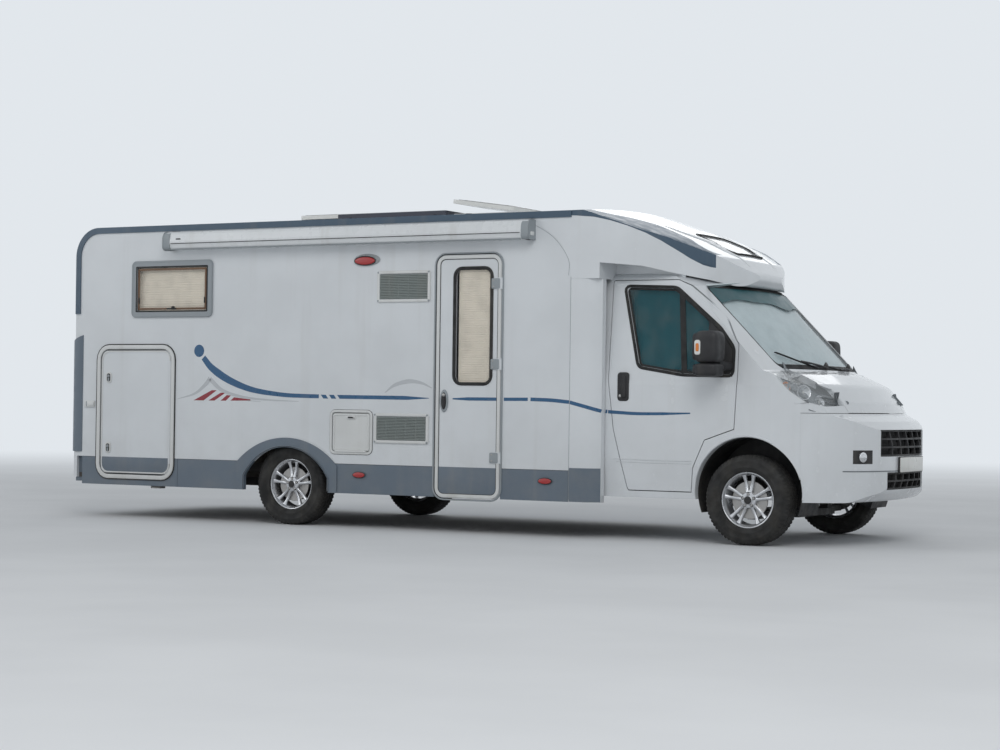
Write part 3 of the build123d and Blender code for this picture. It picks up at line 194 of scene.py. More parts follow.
finishes = {
    # the coach and cab whites are white paint with a cool blue cast that is painted dusk sky light
    "coachWhite": sheenPaint("coachWhite", (0.71, 0.735, 0.755), 0.34, 0.15, dirt=0.25, peel=0.12,
                             grain=160.0),
    "cabWhite": sheenPaint("cabWhite", (0.72, 0.745, 0.765), 0.22, 0.7, dirt=0.2, peel=0.06, grain=420.0,
                           edge=0.004),
    "skirtGrey": sheenPaint("skirtGrey", (0.13, 0.165, 0.205), 0.42, 0.1, dirt=0.35, peel=0.3, edge=0.004),
    "trimBlue": sheenPaint("trimBlue", (0.055, 0.095, 0.14), 0.4, 0.1, dirt=0.3, peel=0.3),
    "frameGrey": sheenPaint("frameGrey", (0.30, 0.33, 0.35), 0.42, dirt=0.3, peel=0.3, edge=0.003),
    "whitePlastic": sheenPaint("whitePlastic", (0.70, 0.71, 0.70), 0.38, 0.1, dirt=0.5, edge=0.003),
    "blackPlastic": sheenPaint("blackPlastic", (0.018, 0.018, 0.02), 0.55, shade=0.3, peel=0.6, dirt=0.3,
                               edge=0.003),
    "rubber": sheenPaint("rubber", (0.012, 0.012, 0.012), 0.7, shade=0.3, peel=0.5, dirt=0.35),
    "tyreBlack": sheenPaint("tyreBlack", (0.016, 0.016, 0.016), 0.78, shade=0.4, peel=0.8, dirt=0.22),
    "alloySilver": sheenPaint("alloySilver", (0.62, 0.63, 0.65), 0.28, 0.4, metallic=0.85, dirt=0.25,
                              edge=0.002),
    "steelDark": sheenPaint("steelDark", (0.03, 0.03, 0.032), 0.6, shade=0.3, peel=0.9, dirt=0.6,
                            grain=120.0),
    "castGrey": sheenPaint("castGrey", (0.16, 0.15, 0.14), 0.65, shade=0.25, peel=1.0, dirt=0.6, grain=200.0,
                           metallic=0.5),
    "floorBoard": sheenPaint("floorBoard", (0.10, 0.09, 0.08), 0.7, shade=0.3, peel=0.8, dirt=0.6,
                             grain=90.0),
    "awningWhite": sheenPaint("awningWhite", (0.74, 0.76, 0.77), 0.3, 0.3, dirt=0.5, peel=0.15, edge=0.003),
    "steelBright": sheenPaint("steelBright", (0.42, 0.41, 0.40), 0.35, metallic=0.9, dirt=0.5, peel=0.4,
                              grain=700.0),
    "ventGrey": sheenPaint("ventGrey", (0.24, 0.27, 0.26), 0.45, dirt=0.5, peel=0.3),
    "brownFrame": sheenPaint("brownFrame", (0.16, 0.085, 0.045), 0.5, shade=0.3, peel=0.3),
    "blindCream": sheenPaint("blindCream", (0.93, 0.85, 0.72), 0.85, shade=0.06, peel=0.6, grain=900.0),
    "reflectorRed": sheenPaint("reflectorRed", (0.42, 0.012, 0.012), 0.2, 0.8, grain=700.0, peel=0.8),
    "opalWhite": sheenPaint("opalWhite", (0.78, 0.78, 0.75), 0.25, 0.5, dirt=0.5, edge=0.003),
    "matFoil": sheenPaint("matFoil", (0.80, 0.88, 0.90), 0.4, peel=0.4),
    "clothGrey": sheenPaint("clothGrey", (0.07, 0.08, 0.095), 0.9, shade=0.25, peel=1.0, grain=900.0),
    "solarCell": sheenPaint("solarCell", (0.008, 0.012, 0.035), 0.15, 0.8),
    "lampRed": sheenPaint("lampRed", (0.35, 0.01, 0.012), 0.15, 0.8),
    "stripeBlue": sheenPaint("stripeBlue", (0.010, 0.088, 0.205), 0.3, 0.4, dirt=0.25, peel=0.1),
    "stripeRed": sheenPaint("stripeRed", (0.27, 0.012, 0.026), 0.3, 0.4, dirt=0.25, peel=0.1),
    "swooshGrey": sheenPaint("swooshGrey", (0.52, 0.54, 0.56), 0.35, 0.3, dirt=0.3, peel=0.1),
    "lampOrange": sheenPaint("lampOrange", (0.72, 0.20, 0.015), 0.15, 0.8, peel=0.3),
    "lampGrey": sheenPaint("lampGrey", (0.20, 0.22, 0.235), 0.35, 0.2, metallic=0.3, shade=0.2),
    "chrome": sheenPaint("chrome", (0.78, 0.79, 0.80), 0.07, metallic=1.0, shade=0.1, peel=0.02),
    "mirrorSilver": sheenPaint("mirrorSilver", (0.80, 0.82, 0.84), 0.03, metallic=1.0, shade=0.04, peel=0.0,
                               dirt=0.1),
    "plateWhite": sheenPaint("plateWhite", (0.74, 0.74, 0.70), 0.3, 0.4, dirt=0.4, peel=0.1),
    # dark teal of painted shade and reflection, for the band across the top of the windscreen
    "screenPaintedShade": sheenPaint("screenPaintedShade", (0.006, 0.085, 0.10), 0.35, 0.05, shade=0.2),
    # dark teal of painted shade and sky reflection, for the mats behind the cab side windows
    "sideMatPaintedShade": sheenPaint("sideMatPaintedShade", (0.05, 0.27, 0.32), 0.45, metallic=0.3, shade=0.25, peel=0.4),
    "acrylic": tintedGlass("acrylic", (0.08, 0.075, 0.07), 0.05),
    "cabGlass": tintedGlass("cabGlass", (0.003, 0.060, 0.078), 0.34),
    "screenGlass": tintedGlass("screenGlass", (0.16, 0.30, 0.33), 0.10),
    "lensClear": tintedGlass("lensClear", (0.7, 0.74, 0.76), 0.18),
}

slotFinish = {
    "coach_white": "coachWhite", "cab_white": "cabWhite", "skirt_grey": "skirtGrey", "trim_blue": "trimBlue",
    "frame_grey": "frameGrey", "white_plastic": "whitePlastic", "black_plastic": "blackPlastic",
    "acrylic": "acrylic", "cab_glazing": "cabGlass", "lamp_lens": "lensClear", "tail_lens": "lampRed",
    "steel_dark": "steelDark", "cast": "castGrey", "alloy": "alloySilver", "tyre": "tyreBlack",
    "floor_board": "floorBoard", "seat_cloth": "clothGrey", "mat_foil": "matFoil", "solar": "solarCell",
    "rooflight": "opalWhite", "awning_white": "awningWhite", "smoked": "acrylic",
}
for entry in frame["record"]["subparts"]:
    nodes[entry["node"]].data.materials.clear()
    nodes[entry["node"]].data.materials.append(finishes[slotFinish[entry["material_slot"]]])
nodes["windscreen"].data.materials[0] = finishes["screenGlass"]
print("finishes done")


# shapes: each adds points and faces to a piece, in a spot that says which way the form lies

def gridFaces(rows, columns, closeRows=False, closeColumns=False):
    # the four corners of each cell of a grid of points, row by row, joined round where it closes
    row = np.arange(rows if closeRows else rows - 1)
    column = np.arange(columns if closeColumns else columns - 1)
    row, column = np.meshgrid(row, column, indexing="ij")
    nextRow, nextColumn = (row + 1) % rows, (column + 1) % columns
    return np.stack([row * columns + column, row * columns + nextColumn, nextRow * columns + nextColumn,
                     nextRow * columns + column], -1).reshape(-1, 4)


class Spot:
    # an origin with the directions of a form's width, height and outward side

    def __init__(self, origin, across, up, out):
        self.origin = np.array(origin, float)
        self.axes = np.array([across, up, out], float)

    def place(self, points):
        return self.origin + np.asarray(points, float) @ self.axes


def outSpot(side, x, y, z):  # faces out sideways, its width runs forwards
    return Spot((x, y, z), (1, 0, 0), (0, 0, 1), (0, side, 0))


def sideSpot(side, x=0.0, z=0.0, out=0.0):  # the same on a side wall
    return outSpot(side, x, side * (halfWidth + out), z)


def topSpot(x, y, z):
    return Spot((x, y, z), (1, 0, 0), (0, 1, 0), (0, 0, 1))


def rearSpot(x, y, z, across=-1):  # faces backwards
    return Spot((x, y, z), (0, across, 0), (0, 0, 1), (-1, 0, 0))


class Shape:
    # forms gathered before they become one piece

    def __init__(self):
        self.points = []
        self.faces = []
        self.finish = []
        self.count = 0

    def grid(self, points, spot=None, finish=0, closeRows=False, closeColumns=False, caps=False):
        # points in rows and columns; caps close the first and last row of a tube with one face each;
        # a form that comes out with a negative volume is turned so that its faces point outwards
        rows, columns = points.shape[:2]
        flat = points.reshape(-1, 3) if spot is None else spot.place(points.reshape(-1, 3))
        faces = gridFaces(rows, columns, closeRows, closeColumns)
        a, b, c, d = (flat[faces[:, i]] for i in range(4))
        volume = np.einsum("ij,ij->", a, np.cross(b, c)) + np.einsum("ij,ij->", a, np.cross(c, d))
        ends = [np.arange(columns)[::-1], (rows - 1) * columns + np.arange(columns)] if caps else []
        for end in ends:
            volume += np.einsum("ij,ij->", np.broadcast_to(flat[end[0]], (columns - 2, 3)),
                                np.cross(flat[end[1:-1]], flat[end[2:]]))
        solid = caps or (closeRows and closeColumns)
        step = -1 if solid and volume < 0 else 1
        for face in [*faces.tolist(), *[end.tolist() for end in ends]]:
            self.faces.append([corner + self.count for corner in face[::step]])
        self.finish += [finish] * (len(faces) + len(ends))
        self.points.append(flat)
        self.count += len(flat)
        return self

    def slab(self, outline, thick, edge, spot, finish=0, base=0.0, steps=3):
        # an outline raised by its thickness, whose rim turns over in a quarter circle of the edge's size
        turn = np.linspace(0, math.pi / 2, steps + 1)
        inset = np.concatenate([[0.0], edge * (1 - np.cos(turn))])
        height = np.concatenate([[base], thick - edge + edge * np.sin(turn)])
        inward = inwardOf(outline)
        rows = outline[None] + inset[:, None, None] * inward[None]
        levels = np.broadcast_to(height[:, None, None], (len(height), len(outline), 1))
        return self.grid(np.concatenate([rows, levels], -1), spot, finish, closeColumns=True, caps=True)

    def shell(self, top, under, finish=0):
        # a thin closed skin between a grid and a second one just below it
        return self.grid(np.concatenate([top, under[:, ::-1]], 1), None, finish, closeColumns=True, caps=True)

    def bead(self, path, across, ups, section, spot=None, finish=0, closed=False):
        # a section of (across, up) pairs carried along a path
        points = path[:, None] + section[None, :, :1] * across[:, None] + section[None, :, 1:] * ups[:, None]
        return self.grid(points, spot, finish, closeRows=closed, closeColumns=True, caps=not closed)

    def bar(self, path, across, up, section, finish=0):
        # a bead whose section keeps the same two directions all along
        path = np.asarray(path, float)
        return self.bead(path, np.tile(np.array(across, float), (len(path), 1)),
                         np.tile(np.array(up, float), (len(path), 1)), section, None, finish)

    def flatBead(self, outline, section, spot, finish=0, closed=True):
        # a bead that lies on a flat side, along an outline
        path = np.concatenate([outline, np.zeros((len(outline), 1))], 1)
        inward = inwardOf(outline, closed)
        across = np.concatenate([-inward, np.zeros((len(outline), 1))], 1)
        ups = np.tile([0.0, 0.0, 1.0], (len(outline), 1))
        return self.bead(path, across, ups, section, spot, finish, closed)

    def turned(self, profile, spot, finish=0, count=48, closed=False):
        # (radius, height) pairs turned about the spot's outward axis
        angle = np.linspace(0, 2 * math.pi, count, endpoint=False)
        radius, height = profile[:, 0], profile[:, 1]
        points = np.stack([radius[:, None] * np.cos(angle), radius[:, None] * np.sin(angle),
                           np.broadcast_to(height[:, None], (len(profile), count))], -1)
        return self.grid(points, spot, finish, closeRows=closed, closeColumns=True, caps=not closed)

    def boulder(self, half, power, spot, finish=0, count=28):
        # a block with full rounded sides, of the given half sizes
        return self.grid(ballGrid(power, count) * half, spot, finish, closeColumns=True, caps=True)

    def make(self, name, finishNames, body="root", sharp=32, slot=None):
        mesh = bpy.data.meshes.new(name)
        mesh.from_pydata(np.concatenate(self.points).tolist(), [], self.faces)
        for finishName in finishNames:
            mesh.materials.append(finishes[finishName])
        mesh.polygons.foreach_set("material_index", self.finish)
        mesh.update()
        mesh.shade_smooth()
        mesh.set_sharp_from_angle(angle=math.radians(sharp))
        piece = bpy.data.objects.new(name, mesh)
        bpy.context.scene.collection.objects.link(piece)
        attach(piece, body)
        return piece


def swollen(wave, power):  # a sine or cosine raised to a power with its sign kept: under 1 it swells out
    return np.sign(wave) * np.abs(wave) ** power


def ballGrid(power, count):
    # the points of a ball of radius 1, each of its sines and cosines swollen by the power into a block
    lift = np.linspace(-math.pi / 2, math.pi / 2, count)[1:-1, None]
    turn = np.linspace(0, 2 * math.pi, 2 * count, endpoint=False)[None]
    ring = swollen(np.cos(lift), power)
    return np.stack([ring * swollen(np.cos(turn), power), ring * swollen(np.sin(turn), power),
                     swollen(np.sin(lift), power) + 0 * turn], -1)


def inwardOf(outline, closed=True):
    # at each point, the direction square to the outline on its left, which is inside a loop that turns left
    ahead, behind = np.roll(outline, -1, 0), np.roll(outline, 1, 0)
    if not closed:
        ahead[-1], behind[0] = outline[-1], outline[0]
    run = ahead - behind
    run /= np.maximum(np.linalg.norm(run, axis=1, keepdims=True), 1e-9)
    return np.stack([-run[:, 1], run[:, 0]], 1)


def roundedLoop(width, height, radius, centre=(0.0, 0.0), steps=6):
    # a rectangle with quarter circles at its corners, turning left
    corner = np.linspace(0, math.pi / 2, steps)
    loops = []
    for quarter, (sx, sy) in enumerate(((1, 1), (-1, 1), (-1, -1), (1, -1))):
        angle = corner + quarter * math.pi / 2
        loops.append(np.stack([centre[0] + sx * (width / 2 - radius) + radius * np.cos(angle),
                               centre[1] + sy * (height / 2 - radius) + radius * np.sin(angle)], 1))
    return np.concatenate(loops)


def boxLoop(x, z, width, height, radius, grow=0.0):  # the same from a corner, grown all round
    return roundedLoop(width + 2 * grow, height + 2 * grow, max(radius + grow, 0.002),
                       (x + width / 2, z + height / 2))


def ovalLoop(width, height, centre=(0.0, 0.0), count=32):
    angle = np.linspace(0, 2 * math.pi, count, endpoint=False)
    return np.stack([centre[0] + width / 2 * np.cos(angle), centre[1] + height / 2 * np.sin(angle)], 1)


def boxSection(halfAcross, halfUp):  # a rectangle: across and up
    return np.array([(-halfAcross, -halfUp), (halfAcross, -halfUp),
                     (halfAcross, halfUp), (-halfAcross, halfUp)])


def knobProfile(radius, shoulder, bevel, top, crown, foot=0.0):
    # a button to be turned about its axis: straight wall, bevelled rim, middle raised to the crown
    return np.array([(0.001, foot), (radius, foot), (radius, shoulder), (radius - bevel, top),
                     (0.001, crown)])


def roundSection(radius, count=10):
    angle = np.linspace(0, 2 * math.pi, count, endpoint=False)
    return np.stack([radius * np.cos(angle), radius * np.sin(angle)], 1)


def smoothPath(points, count):
    # a curve through the points, eased between them, at even steps of length
    points = np.asarray(points, float)
    before = np.concatenate([2 * points[:1] - points[1:2], points[:-1]])
    after = np.concatenate([points[1:], 2 * points[-1:] - points[-2:-1]])
    slope = (after - before) / 2
    t = np.linspace(0, 1, 24, endpoint=False)[:, None]
    pieces = [(2 * t ** 3 - 3 * t ** 2 + 1) * points[i] + (t ** 3 - 2 * t ** 2 + t) * slope[i]
              + (3 * t ** 2 - 2 * t ** 3) * points[i + 1] + (t ** 3 - t ** 2) * slope[i + 1]
              for i in range(len(points) - 1)]
    curve = np.concatenate(pieces + [points[-1:]])
    length = np.concatenate([[0], np.cumsum(np.linalg.norm(np.diff(curve, axis=0), axis=1))])
    even = np.linspace(0, length[-1], count)
    return np.stack([np.interp(even, length, curve[:, axis]) for axis in range(curve.shape[1])], 1)


surfaces = {}


def surfaceOf(node):
    if node not in surfaces:
        surfaces[node] = BVHTree.FromObject(nodes[node], bpy.context.evaluated_depsgraph_get())
    return surfaces[node]


def ontoNode(points, node, direction, lift=0.0006):
    # moves each point along a direction until it meets a CAD node, and back off it by the lift;
    # a point that misses takes the depth of the nearest one that hits
    tree, way = surfaceOf(node), Vector(direction)
    hits = [tree.ray_cast(Vector(p) - way * 3.0, way)[0] for p in np.asarray(points).reshape(-1, 3)]
    along = np.array([np.nan if hit is None else hit.dot(way) for hit in hits])
    known = np.flatnonzero(~np.isnan(along))
    along = np.interp(np.arange(len(along)), known, along[known]) - lift
    flat, direction = np.asarray(points, float).reshape(-1, 3), np.array(direction)
    flat = flat - (flat @ direction)[:, None] * direction + along[:, None] * direction
    return flat.reshape(np.shape(points))


def normalsOf(points, towards):
    # square to a grid of points: the cross product of its two slopes, turned to the side that is asked for
    normal = np.cross(np.gradient(points, axis=0), np.gradient(points, axis=1))
    normal /= np.maximum(np.linalg.norm(normal, axis=2, keepdims=True), 1e-9)
    return normal * np.sign(np.sum(normal * towards, 2, keepdims=True))


def tubeAlong(shape, path, radius, finish=0, count=8):
    # a round bar along a path in space; its section keeps square to the run
    path = np.asarray(path, float)
    run = np.gradient(path, axis=0)
    run /= np.linalg.norm(run, axis=1, keepdims=True)
    guide = np.array([0.0, 0.0, 1.0]) if abs(run[:, 2]).max() < 0.9 else np.array([0.0, 1.0, 0.0])
    across = np.cross(run, guide)
    across /= np.linalg.norm(across, axis=1, keepdims=True)
    return shape.bead(path, across, np.cross(across, run), roundSection(1.0, count) * radius, None, finish)


# wheels

wheelPlan = {
    "groovePlaces": (-0.056, -0.019, 0.019, 0.056),
    "grooveHalf": 0.0045,
    "grooveDepth": 0.008,
    "pitches": 66,
    "spokePairs": 5,
    "spokeSpread": math.radians(11.5),
    "faceHeight": 0.066,
    "boltCircle": 0.046,
}


def tyreSection(plan):
    # (radius, height) points round a tyre: bead, bulging wall with thin ribs, shoulder and grooved tread
    wall = [(0.197, 0.068), (0.207, 0.076), (0.213, 0.092), (0.226, 0.099), (0.240, 0.1045),
            (0.243, 0.1062), (0.247, 0.1062), (0.250, 0.105), (0.268, 0.1075), (0.286, 0.1058),
            (0.289, 0.1068), (0.293, 0.1062), (0.296, 0.1042), (0.311, 0.100), (0.323, 0.0945),
            (0.3305, 0.087)]
    tread = [(0.3335, 0.078)]
    for place in reversed(plan["groovePlaces"]):
        half, depth = plan["grooveHalf"], plan["grooveDepth"]
        top = tyreRadius - 0.0012 * abs(place) / 0.056
        tread += [(top, place + half), (top - depth, place + half - 0.0012),
                  (top - depth, place - half + 0.0012), (top, place - half)]
        tread += [(tyreRadius, place - half - 0.012)] if place > 0.02 else []
    left = [(r, -w) for r, w in reversed(wall)]
    return np.array(wall + tread + [(0.3335, -0.078)] + left)


def makeTyre(corner, plan):
    # the section turned about the axle
    # of every five steps two are cut in on the shoulders, one on the blocks
    section = tyreSection(plan)
    count = plan["pitches"] * 5
    angle = np.linspace(0, 2 * math.pi, count, endpoint=False)
    radius, height = section[:, :1], section[:, 1:]
    step = np.arange(count)[None]
    shoulder = (radius > 0.3225) & (np.abs(height) > 0.062)
    middle = (radius > 0.3335) & (np.abs(height) < 0.0525)
    cut = 0.0065 * (shoulder & (step % 5 < 2)) + 0.003 * (middle & ((step + 2) % 5 == 0))
    depth = radius - cut
    points = np.stack([depth * np.cos(angle), depth * np.sin(angle), height + 0 * depth], -1)
    shape = Shape().grid(points, wheelSpot(corner), 0, closeRows=True, closeColumns=True)
    piece = shape.make("tyreTread_" + corner, ["tyreBlack"], "wheel_" + corner, 40, "tyre")
    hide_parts("tyre_" + corner)


def wheelSpot(corner):
    side = -1 if corner.endswith("right") else 1
    return outSpot(side, *centreOf("tyre_" + corner))


def makeRim(corner, plan):
    # a turned barrel with two lips, a dished hub, and five pairs of arms whose ends flare into the barrel
    spot = wheelSpot(corner)
    shape = Shape()
    barrel = np.array([(0.2075, 0.0785), (0.2035, 0.0795), (0.199, 0.0775), (0.195, 0.068), (0.188, 0.058),
                       (0.182, 0.046), (0.180, 0.0), (0.184, -0.060), (0.196, -0.070), (0.2065, -0.0785),
                       (0.2075, -0.073), (0.1975, -0.064), (0.188, -0.054), (0.186, 0.0), (0.190, 0.050),
                       (0.199, 0.064), (0.2065, 0.071)])
    shape.turned(barrel, spot, 0, 96, closed=True)
    face = plan["faceHeight"]
    hub = np.array([(0.001, 0.030), (0.060, 0.030), (0.062, 0.048), (0.0605, face - 0.006),
                    (0.056, face - 0.001), (0.050, face), (0.036, face + 0.001), (0.0345, face + 0.005),
                    (0.031, face + 0.0075), (0.0295, face + 0.0075)])
    shape.turned(hub, spot, 0, 60)
    cap = np.array([(0.0295, face + 0.003), (0.0293, face + 0.0088), (0.026, face + 0.0102),
                    (0.012, face + 0.0118), (0.001, face + 0.012)])
    shape.turned(cap, spot, 1, 40)
    along = np.linspace(0, 1, 15)[:, None]
    ring = np.linspace(0, 2 * math.pi, 14, endpoint=False)[None]
    reach = 0.045 + 0.143 * along
    outerFlare = 0.007 * np.clip((along - 0.72) / 0.28, 0, 1) ** 2
    hubFlare = 0.004 * np.clip((0.2 - along) / 0.2, 0, 1)
    dish = face - 0.001 - 0.014 * np.sin(math.pi * along) + 0.002 * along
    width = (0.0125 + outerFlare + hubFlare) * swollen(np.cos(ring), 0.55)
    height = dish - 0.013 + 0.013 * swollen(np.sin(ring), 0.55) - 0.002 * np.cos(ring) ** 2
    for pair in range(plan["spokePairs"]):
        middle = math.radians(90) + pair * 2 * math.pi / plan["spokePairs"]
        for hand in (-1, 1):
            turn = middle + hand * plan["spokeSpread"]
            c, s = math.cos(turn), math.sin(turn)
            points = np.stack([reach * c - width * s, reach * s + width * c,
                               np.broadcast_to(height, width.shape)], -1)
            shape.grid(points, spot, 0, closeColumns=True, caps=True)
        boltPlace = [plan["boltCircle"] * math.cos(middle), plan["boltCircle"] * math.sin(middle), 0]
        bolt = Spot(spot.place(boltPlace), *spot.axes)
        head = knobProfile(0.0095, face + 0.004, 0.002, face + 0.006, face + 0.0055, face - 0.004)
        shape.turned(head, bolt, 2, 6)
        shape.turned(np.array([(0.0098, face - 0.003), (0.0128, face - 0.003), (0.0125, face + 0.0012),
                               (0.0105, face + 0.0012)]), bolt, 1, 20, closed=True)
    piece = shape.make("alloyWheel_" + corner, ["alloySilver", "blackPlastic", "steelBright"],
                       "wheel_" + corner, 35, "alloy")
    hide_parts("rim_" + corner)
    section = np.array([(0.058, 0.018), (0.140, 0.018), (0.141, 0.020), (0.141, 0.028), (0.140, 0.030),
                        (0.058, 0.030)])
    brake = Shape().turned(section, spot, 0, 72, closed=True)
    brake.make("brakeDisc_" + corner, ["steelBright"], "wheel_" + corner, 35, "cast")


for corner in ("front_right", "front_left", "rear_right", "rear_left"):
    makeTyre(corner, wheelPlan)
    makeRim(corner, wheelPlan)
print("wheels done")


# coach body

coachPlan = {
    # leaves and openings: x from the rear axle, z, width, height
    "garageLeaf": (-1.960, 0.382, 0.750, 1.058),
    "garageLocks": ((-1.880, 1.207), (-1.880, 0.600)),
    # stay on the wall: x, z, width, height, corner radius, thickness, edge, finish
    "garageStay": ((-2.088, 0.976, 0.112, 0.058, 0.012, 0.016, 0.006, 0),
                   (-2.064, 0.976, 0.060, 0.034, 0.010, 0.026, 0.005, 0),
                   (-2.118, 0.976, 0.010, 0.044, 0.004, 0.018, 0.001, 2)),
    # beads round the garage leaf: how far out, width, height, finish
    "garageBeads": ((0.030, 0.036, 0.0125, 0), (0.053, 0.007, 0.0095, 1), (0.0095, 0.004, 0.003, 1)),
    "entryLeaf": (1.436, 0.276, 0.590, 1.914),
    "entryGlass": (1.604, 1.179, 0.330, 0.902),
    "entryHinges": (0.600, 1.330, 1.960),
    "handle": (1.516, 1.040),
    "flapLeaf": (0.462, 0.624, 0.357, 0.305),
    "cornerRadius": 0.080,
    "greyTop": 0.520,
    # side, x, z, width, height
    "windows": ((-1, -1.634, 1.723, 0.862, 0.485), (1, -1.634, 1.723, 0.862, 0.485),
                (1, 0.640, 1.400, 1.100, 0.560)),
    "windowCorner": 0.045,
    "frameWidth": 0.058,
    "frameProud": 0.014,
    "vents": ((0.877, 1.823, 0.501, 0.254), (0.863, 0.693, 0.514, 0.242)),
    "ventProud": 0.014,
    "ventSlats": 15,
    "markers": ((-1, 0.775, 2.170), (1, 0.775, 2.170)),
    "reflectors": (0.726, 2.430),
    "reflectorLevel": 0.433,
    "skirtProud": 0.008,
    "blindDepth": 0.022,
    "pleat": 0.0022,
    "pitch": 0.020,
    # z, width, height
    "rearBlind": (1.780, 0.880, 0.320),
}


def beadSection(width, height, roundShare=0.5):
    # a flat-topped bead whose shoulders are quarter circles of a share of its height: across and up
    turn = np.linspace(0, math.pi / 2, 5)
    edge = height * roundShare
    right = np.stack([width / 2 - edge + edge * np.cos(turn), height - edge + edge * np.sin(turn)], 1)
    left = right[::-1] * (-1, 1)
    return np.concatenate([[[width / 2, -0.002]], right, left, [[-width / 2, -0.002]]])


def leafLoop(box, radius, grow=0.0):  # the outline of a leaf or an opening of the coach
    x, z, w, h = box
    return boxLoop(coach(x), z, w, h, radius, grow)


def frameBead(shape, side, box, radius, grow, width, height, finish, out=0.0):
    # a bead round a rectangle on a side wall; its middle line lies outside the rectangle by grow
    shape.flatBead(leafLoop(box, radius, grow), beadSection(width, height), sideSpot(side, 0, 0, out), finish)


def cutLoopAt(outline, level):
    # the part of a loop below a level, closed along it
    low = outline[outline[:, 1] < level]
    order = np.argmax(np.linalg.norm(np.diff(np.concatenate([low, low[:1]]), axis=0), axis=1))
    low = np.roll(low, -(order + 1), axis=0)
    return np.concatenate([low, [[low[-1, 0], level], [low[0, 0], level]]])


def makeGarageDoor(side, plan):
    # lower part in the skirt's colour, rim bead and locks on the leaf; beads and a stay on the wall round it
    hand, leaf, radius = handOf(side), plan["garageLeaf"], plan["cornerRadius"]
    spot = sideSpot(side)
    shape = Shape()
    shape.slab(cutLoopAt(leafLoop(leaf, radius, -0.006), plan["greyTop"]), 0.0022, 0.001, spot, 1)
    shape.flatBead(leafLoop(leaf, radius, -0.007), beadSection(0.012, 0.0045), spot, 0)
    for x, z in plan["garageLocks"]:
        lock = sideSpot(side, coach(x), z)
        shape.slab(roundedLoop(0.058, 0.096, 0.024), 0.008, 0.004, lock, 0)
        shape.slab(roundedLoop(0.038, 0.070, 0.016), 0.0095, 0.0015, lock, 2)
        barrel = sideSpot(side, coach(x), z + 0.012)
        shape.turned(knobProfile(0.013, 0.013, 0.002, 0.0145, 0.015), barrel, 3, 24)
        shape.slab(roundedLoop(0.016, 0.030, 0.006), 0.013, 0.003, sideSpot(side, coach(x), z - 0.018), 3)
    shape.make("garageDoorDress_" + hand, ["whitePlastic", "skirtGrey", "blackPlastic", "frameGrey"],
               "garage_door_" + hand, 35, "white_plastic")
    surround = Shape()
    for grow, width, height, finish in plan["garageBeads"]:
        frameBead(surround, side, leaf, radius, grow, width, height, finish)
    for x, z, w, h, corner, thick, edge, finish in plan["garageStay"]:
        surround.slab(roundedLoop(w, h, corner), thick, edge, sideSpot(side, coach(x), z), finish)
    surround.make("garageDoorFrame_" + hand, ["whitePlastic", "rubber", "frameGrey"], "root", 35,
                  "white_plastic")


def makeEntryDoor(plan):
    # lower part in the skirt's colour, rim beads, the window's seal, handle with its lock, and three hinges
    leaf, radius = plan["entryLeaf"], plan["cornerRadius"]
    x, z = plan["handle"]
    hingeX = coach(leaf[0] + leaf[2])
    shape = Shape()
    shape.slab(cutLoopAt(leafLoop(leaf, radius, -0.006), plan["greyTop"]), 0.0022, 0.001, sideSpot(-1), 1)
    frameBead(shape, -1, leaf, radius, -0.0165, 0.028, 0.0065, 0)
    frameBead(shape, -1, leaf, radius, -0.0335, 0.0045, 0.004, 2)
    frameBead(shape, -1, plan["entryGlass"], 0.062, 0.004, 0.026, 0.006, 2)
    cup = sideSpot(-1, coach(x), z)
    shape.slab(ovalLoop(0.074, 0.178, count=44), 0.010, 0.006, cup, 3)
    shape.slab(ovalLoop(0.048, 0.136, count=40), 0.0115, 0.0015, cup, 4)
    shape.slab(roundedLoop(0.024, 0.088, 0.011), 0.021, 0.006, sideSpot(-1, coach(x) + 0.002, z - 0.016), 4)
    shape.turned(knobProfile(0.0125, 0.014, 0.002, 0.0155, 0.016), sideSpot(-1, coach(x), z + 0.046), 5, 24)
    for height in plan["entryHinges"]:
        shape.slab(roundedLoop(0.074, 0.082, 0.010), 0.0125, 0.004, sideSpot(-1, hingeX - 0.052, height), 3)
        for up in (-0.024, 0.024):
            shape.turned(knobProfile(0.0065, 0.0132, 0.001, 0.0142, 0.0144),
                         sideSpot(-1, hingeX - 0.068, height + up), 5, 16)
    names = ["whitePlastic", "skirtGrey", "rubber", "frameGrey", "blackPlastic", "steelBright"]
    shape.make("entryDoorDress", names, "entry_door", 35, "white_plastic")
    outer = Shape()
    frameBead(outer, -1, leaf, radius, 0.0130, 0.012, 0.0110, 0)
    frameBead(outer, -1, leaf, radius, 0.0065, 0.003, 0.0020, 1)
    outer.make("entryDoorFrame", ["frameGrey", "rubber"], "root", 35, "white_plastic")


def makeServiceFlap(plan):
    # a bead near the flap's rim, a latch with its lock, and the frame round the flap
    x, z, w, h = plan["flapLeaf"]
    middle, latchZ = coach(x + w / 2), z + h - 0.034
    shape = Shape()
    frameBead(shape, -1, plan["flapLeaf"], 0.022, -0.012, 0.014, 0.0045, 0)
    latch = sideSpot(-1, middle, latchZ)
    shape.slab(roundedLoop(0.086, 0.030, 0.012), 0.007, 0.003, latch, 0)
    shape.slab(roundedLoop(0.060, 0.014, 0.006), 0.0085, 0.001, latch, 1)
    barrel = sideSpot(-1, middle + 0.028, latchZ)
    shape.turned(knobProfile(0.0085, 0.0105, 0.001, 0.0115, 0.0115), barrel, 2, 20)
    shape.make("serviceFlapDress", ["whitePlastic", "blackPlastic", "steelBright"], "service_flap", 35,
               "white_plastic")
    outer = Shape()
    frameBead(outer, -1, plan["flapLeaf"], 0.020, 0.0165, 0.021, 0.008, 0)
    frameBead(outer, -1, plan["flapLeaf"], 0.020, 0.0285, 0.003, 0.003, 1)
    outer.make("serviceFlapFrame", ["whitePlastic", "rubber"], "root", 35, "white_plastic")


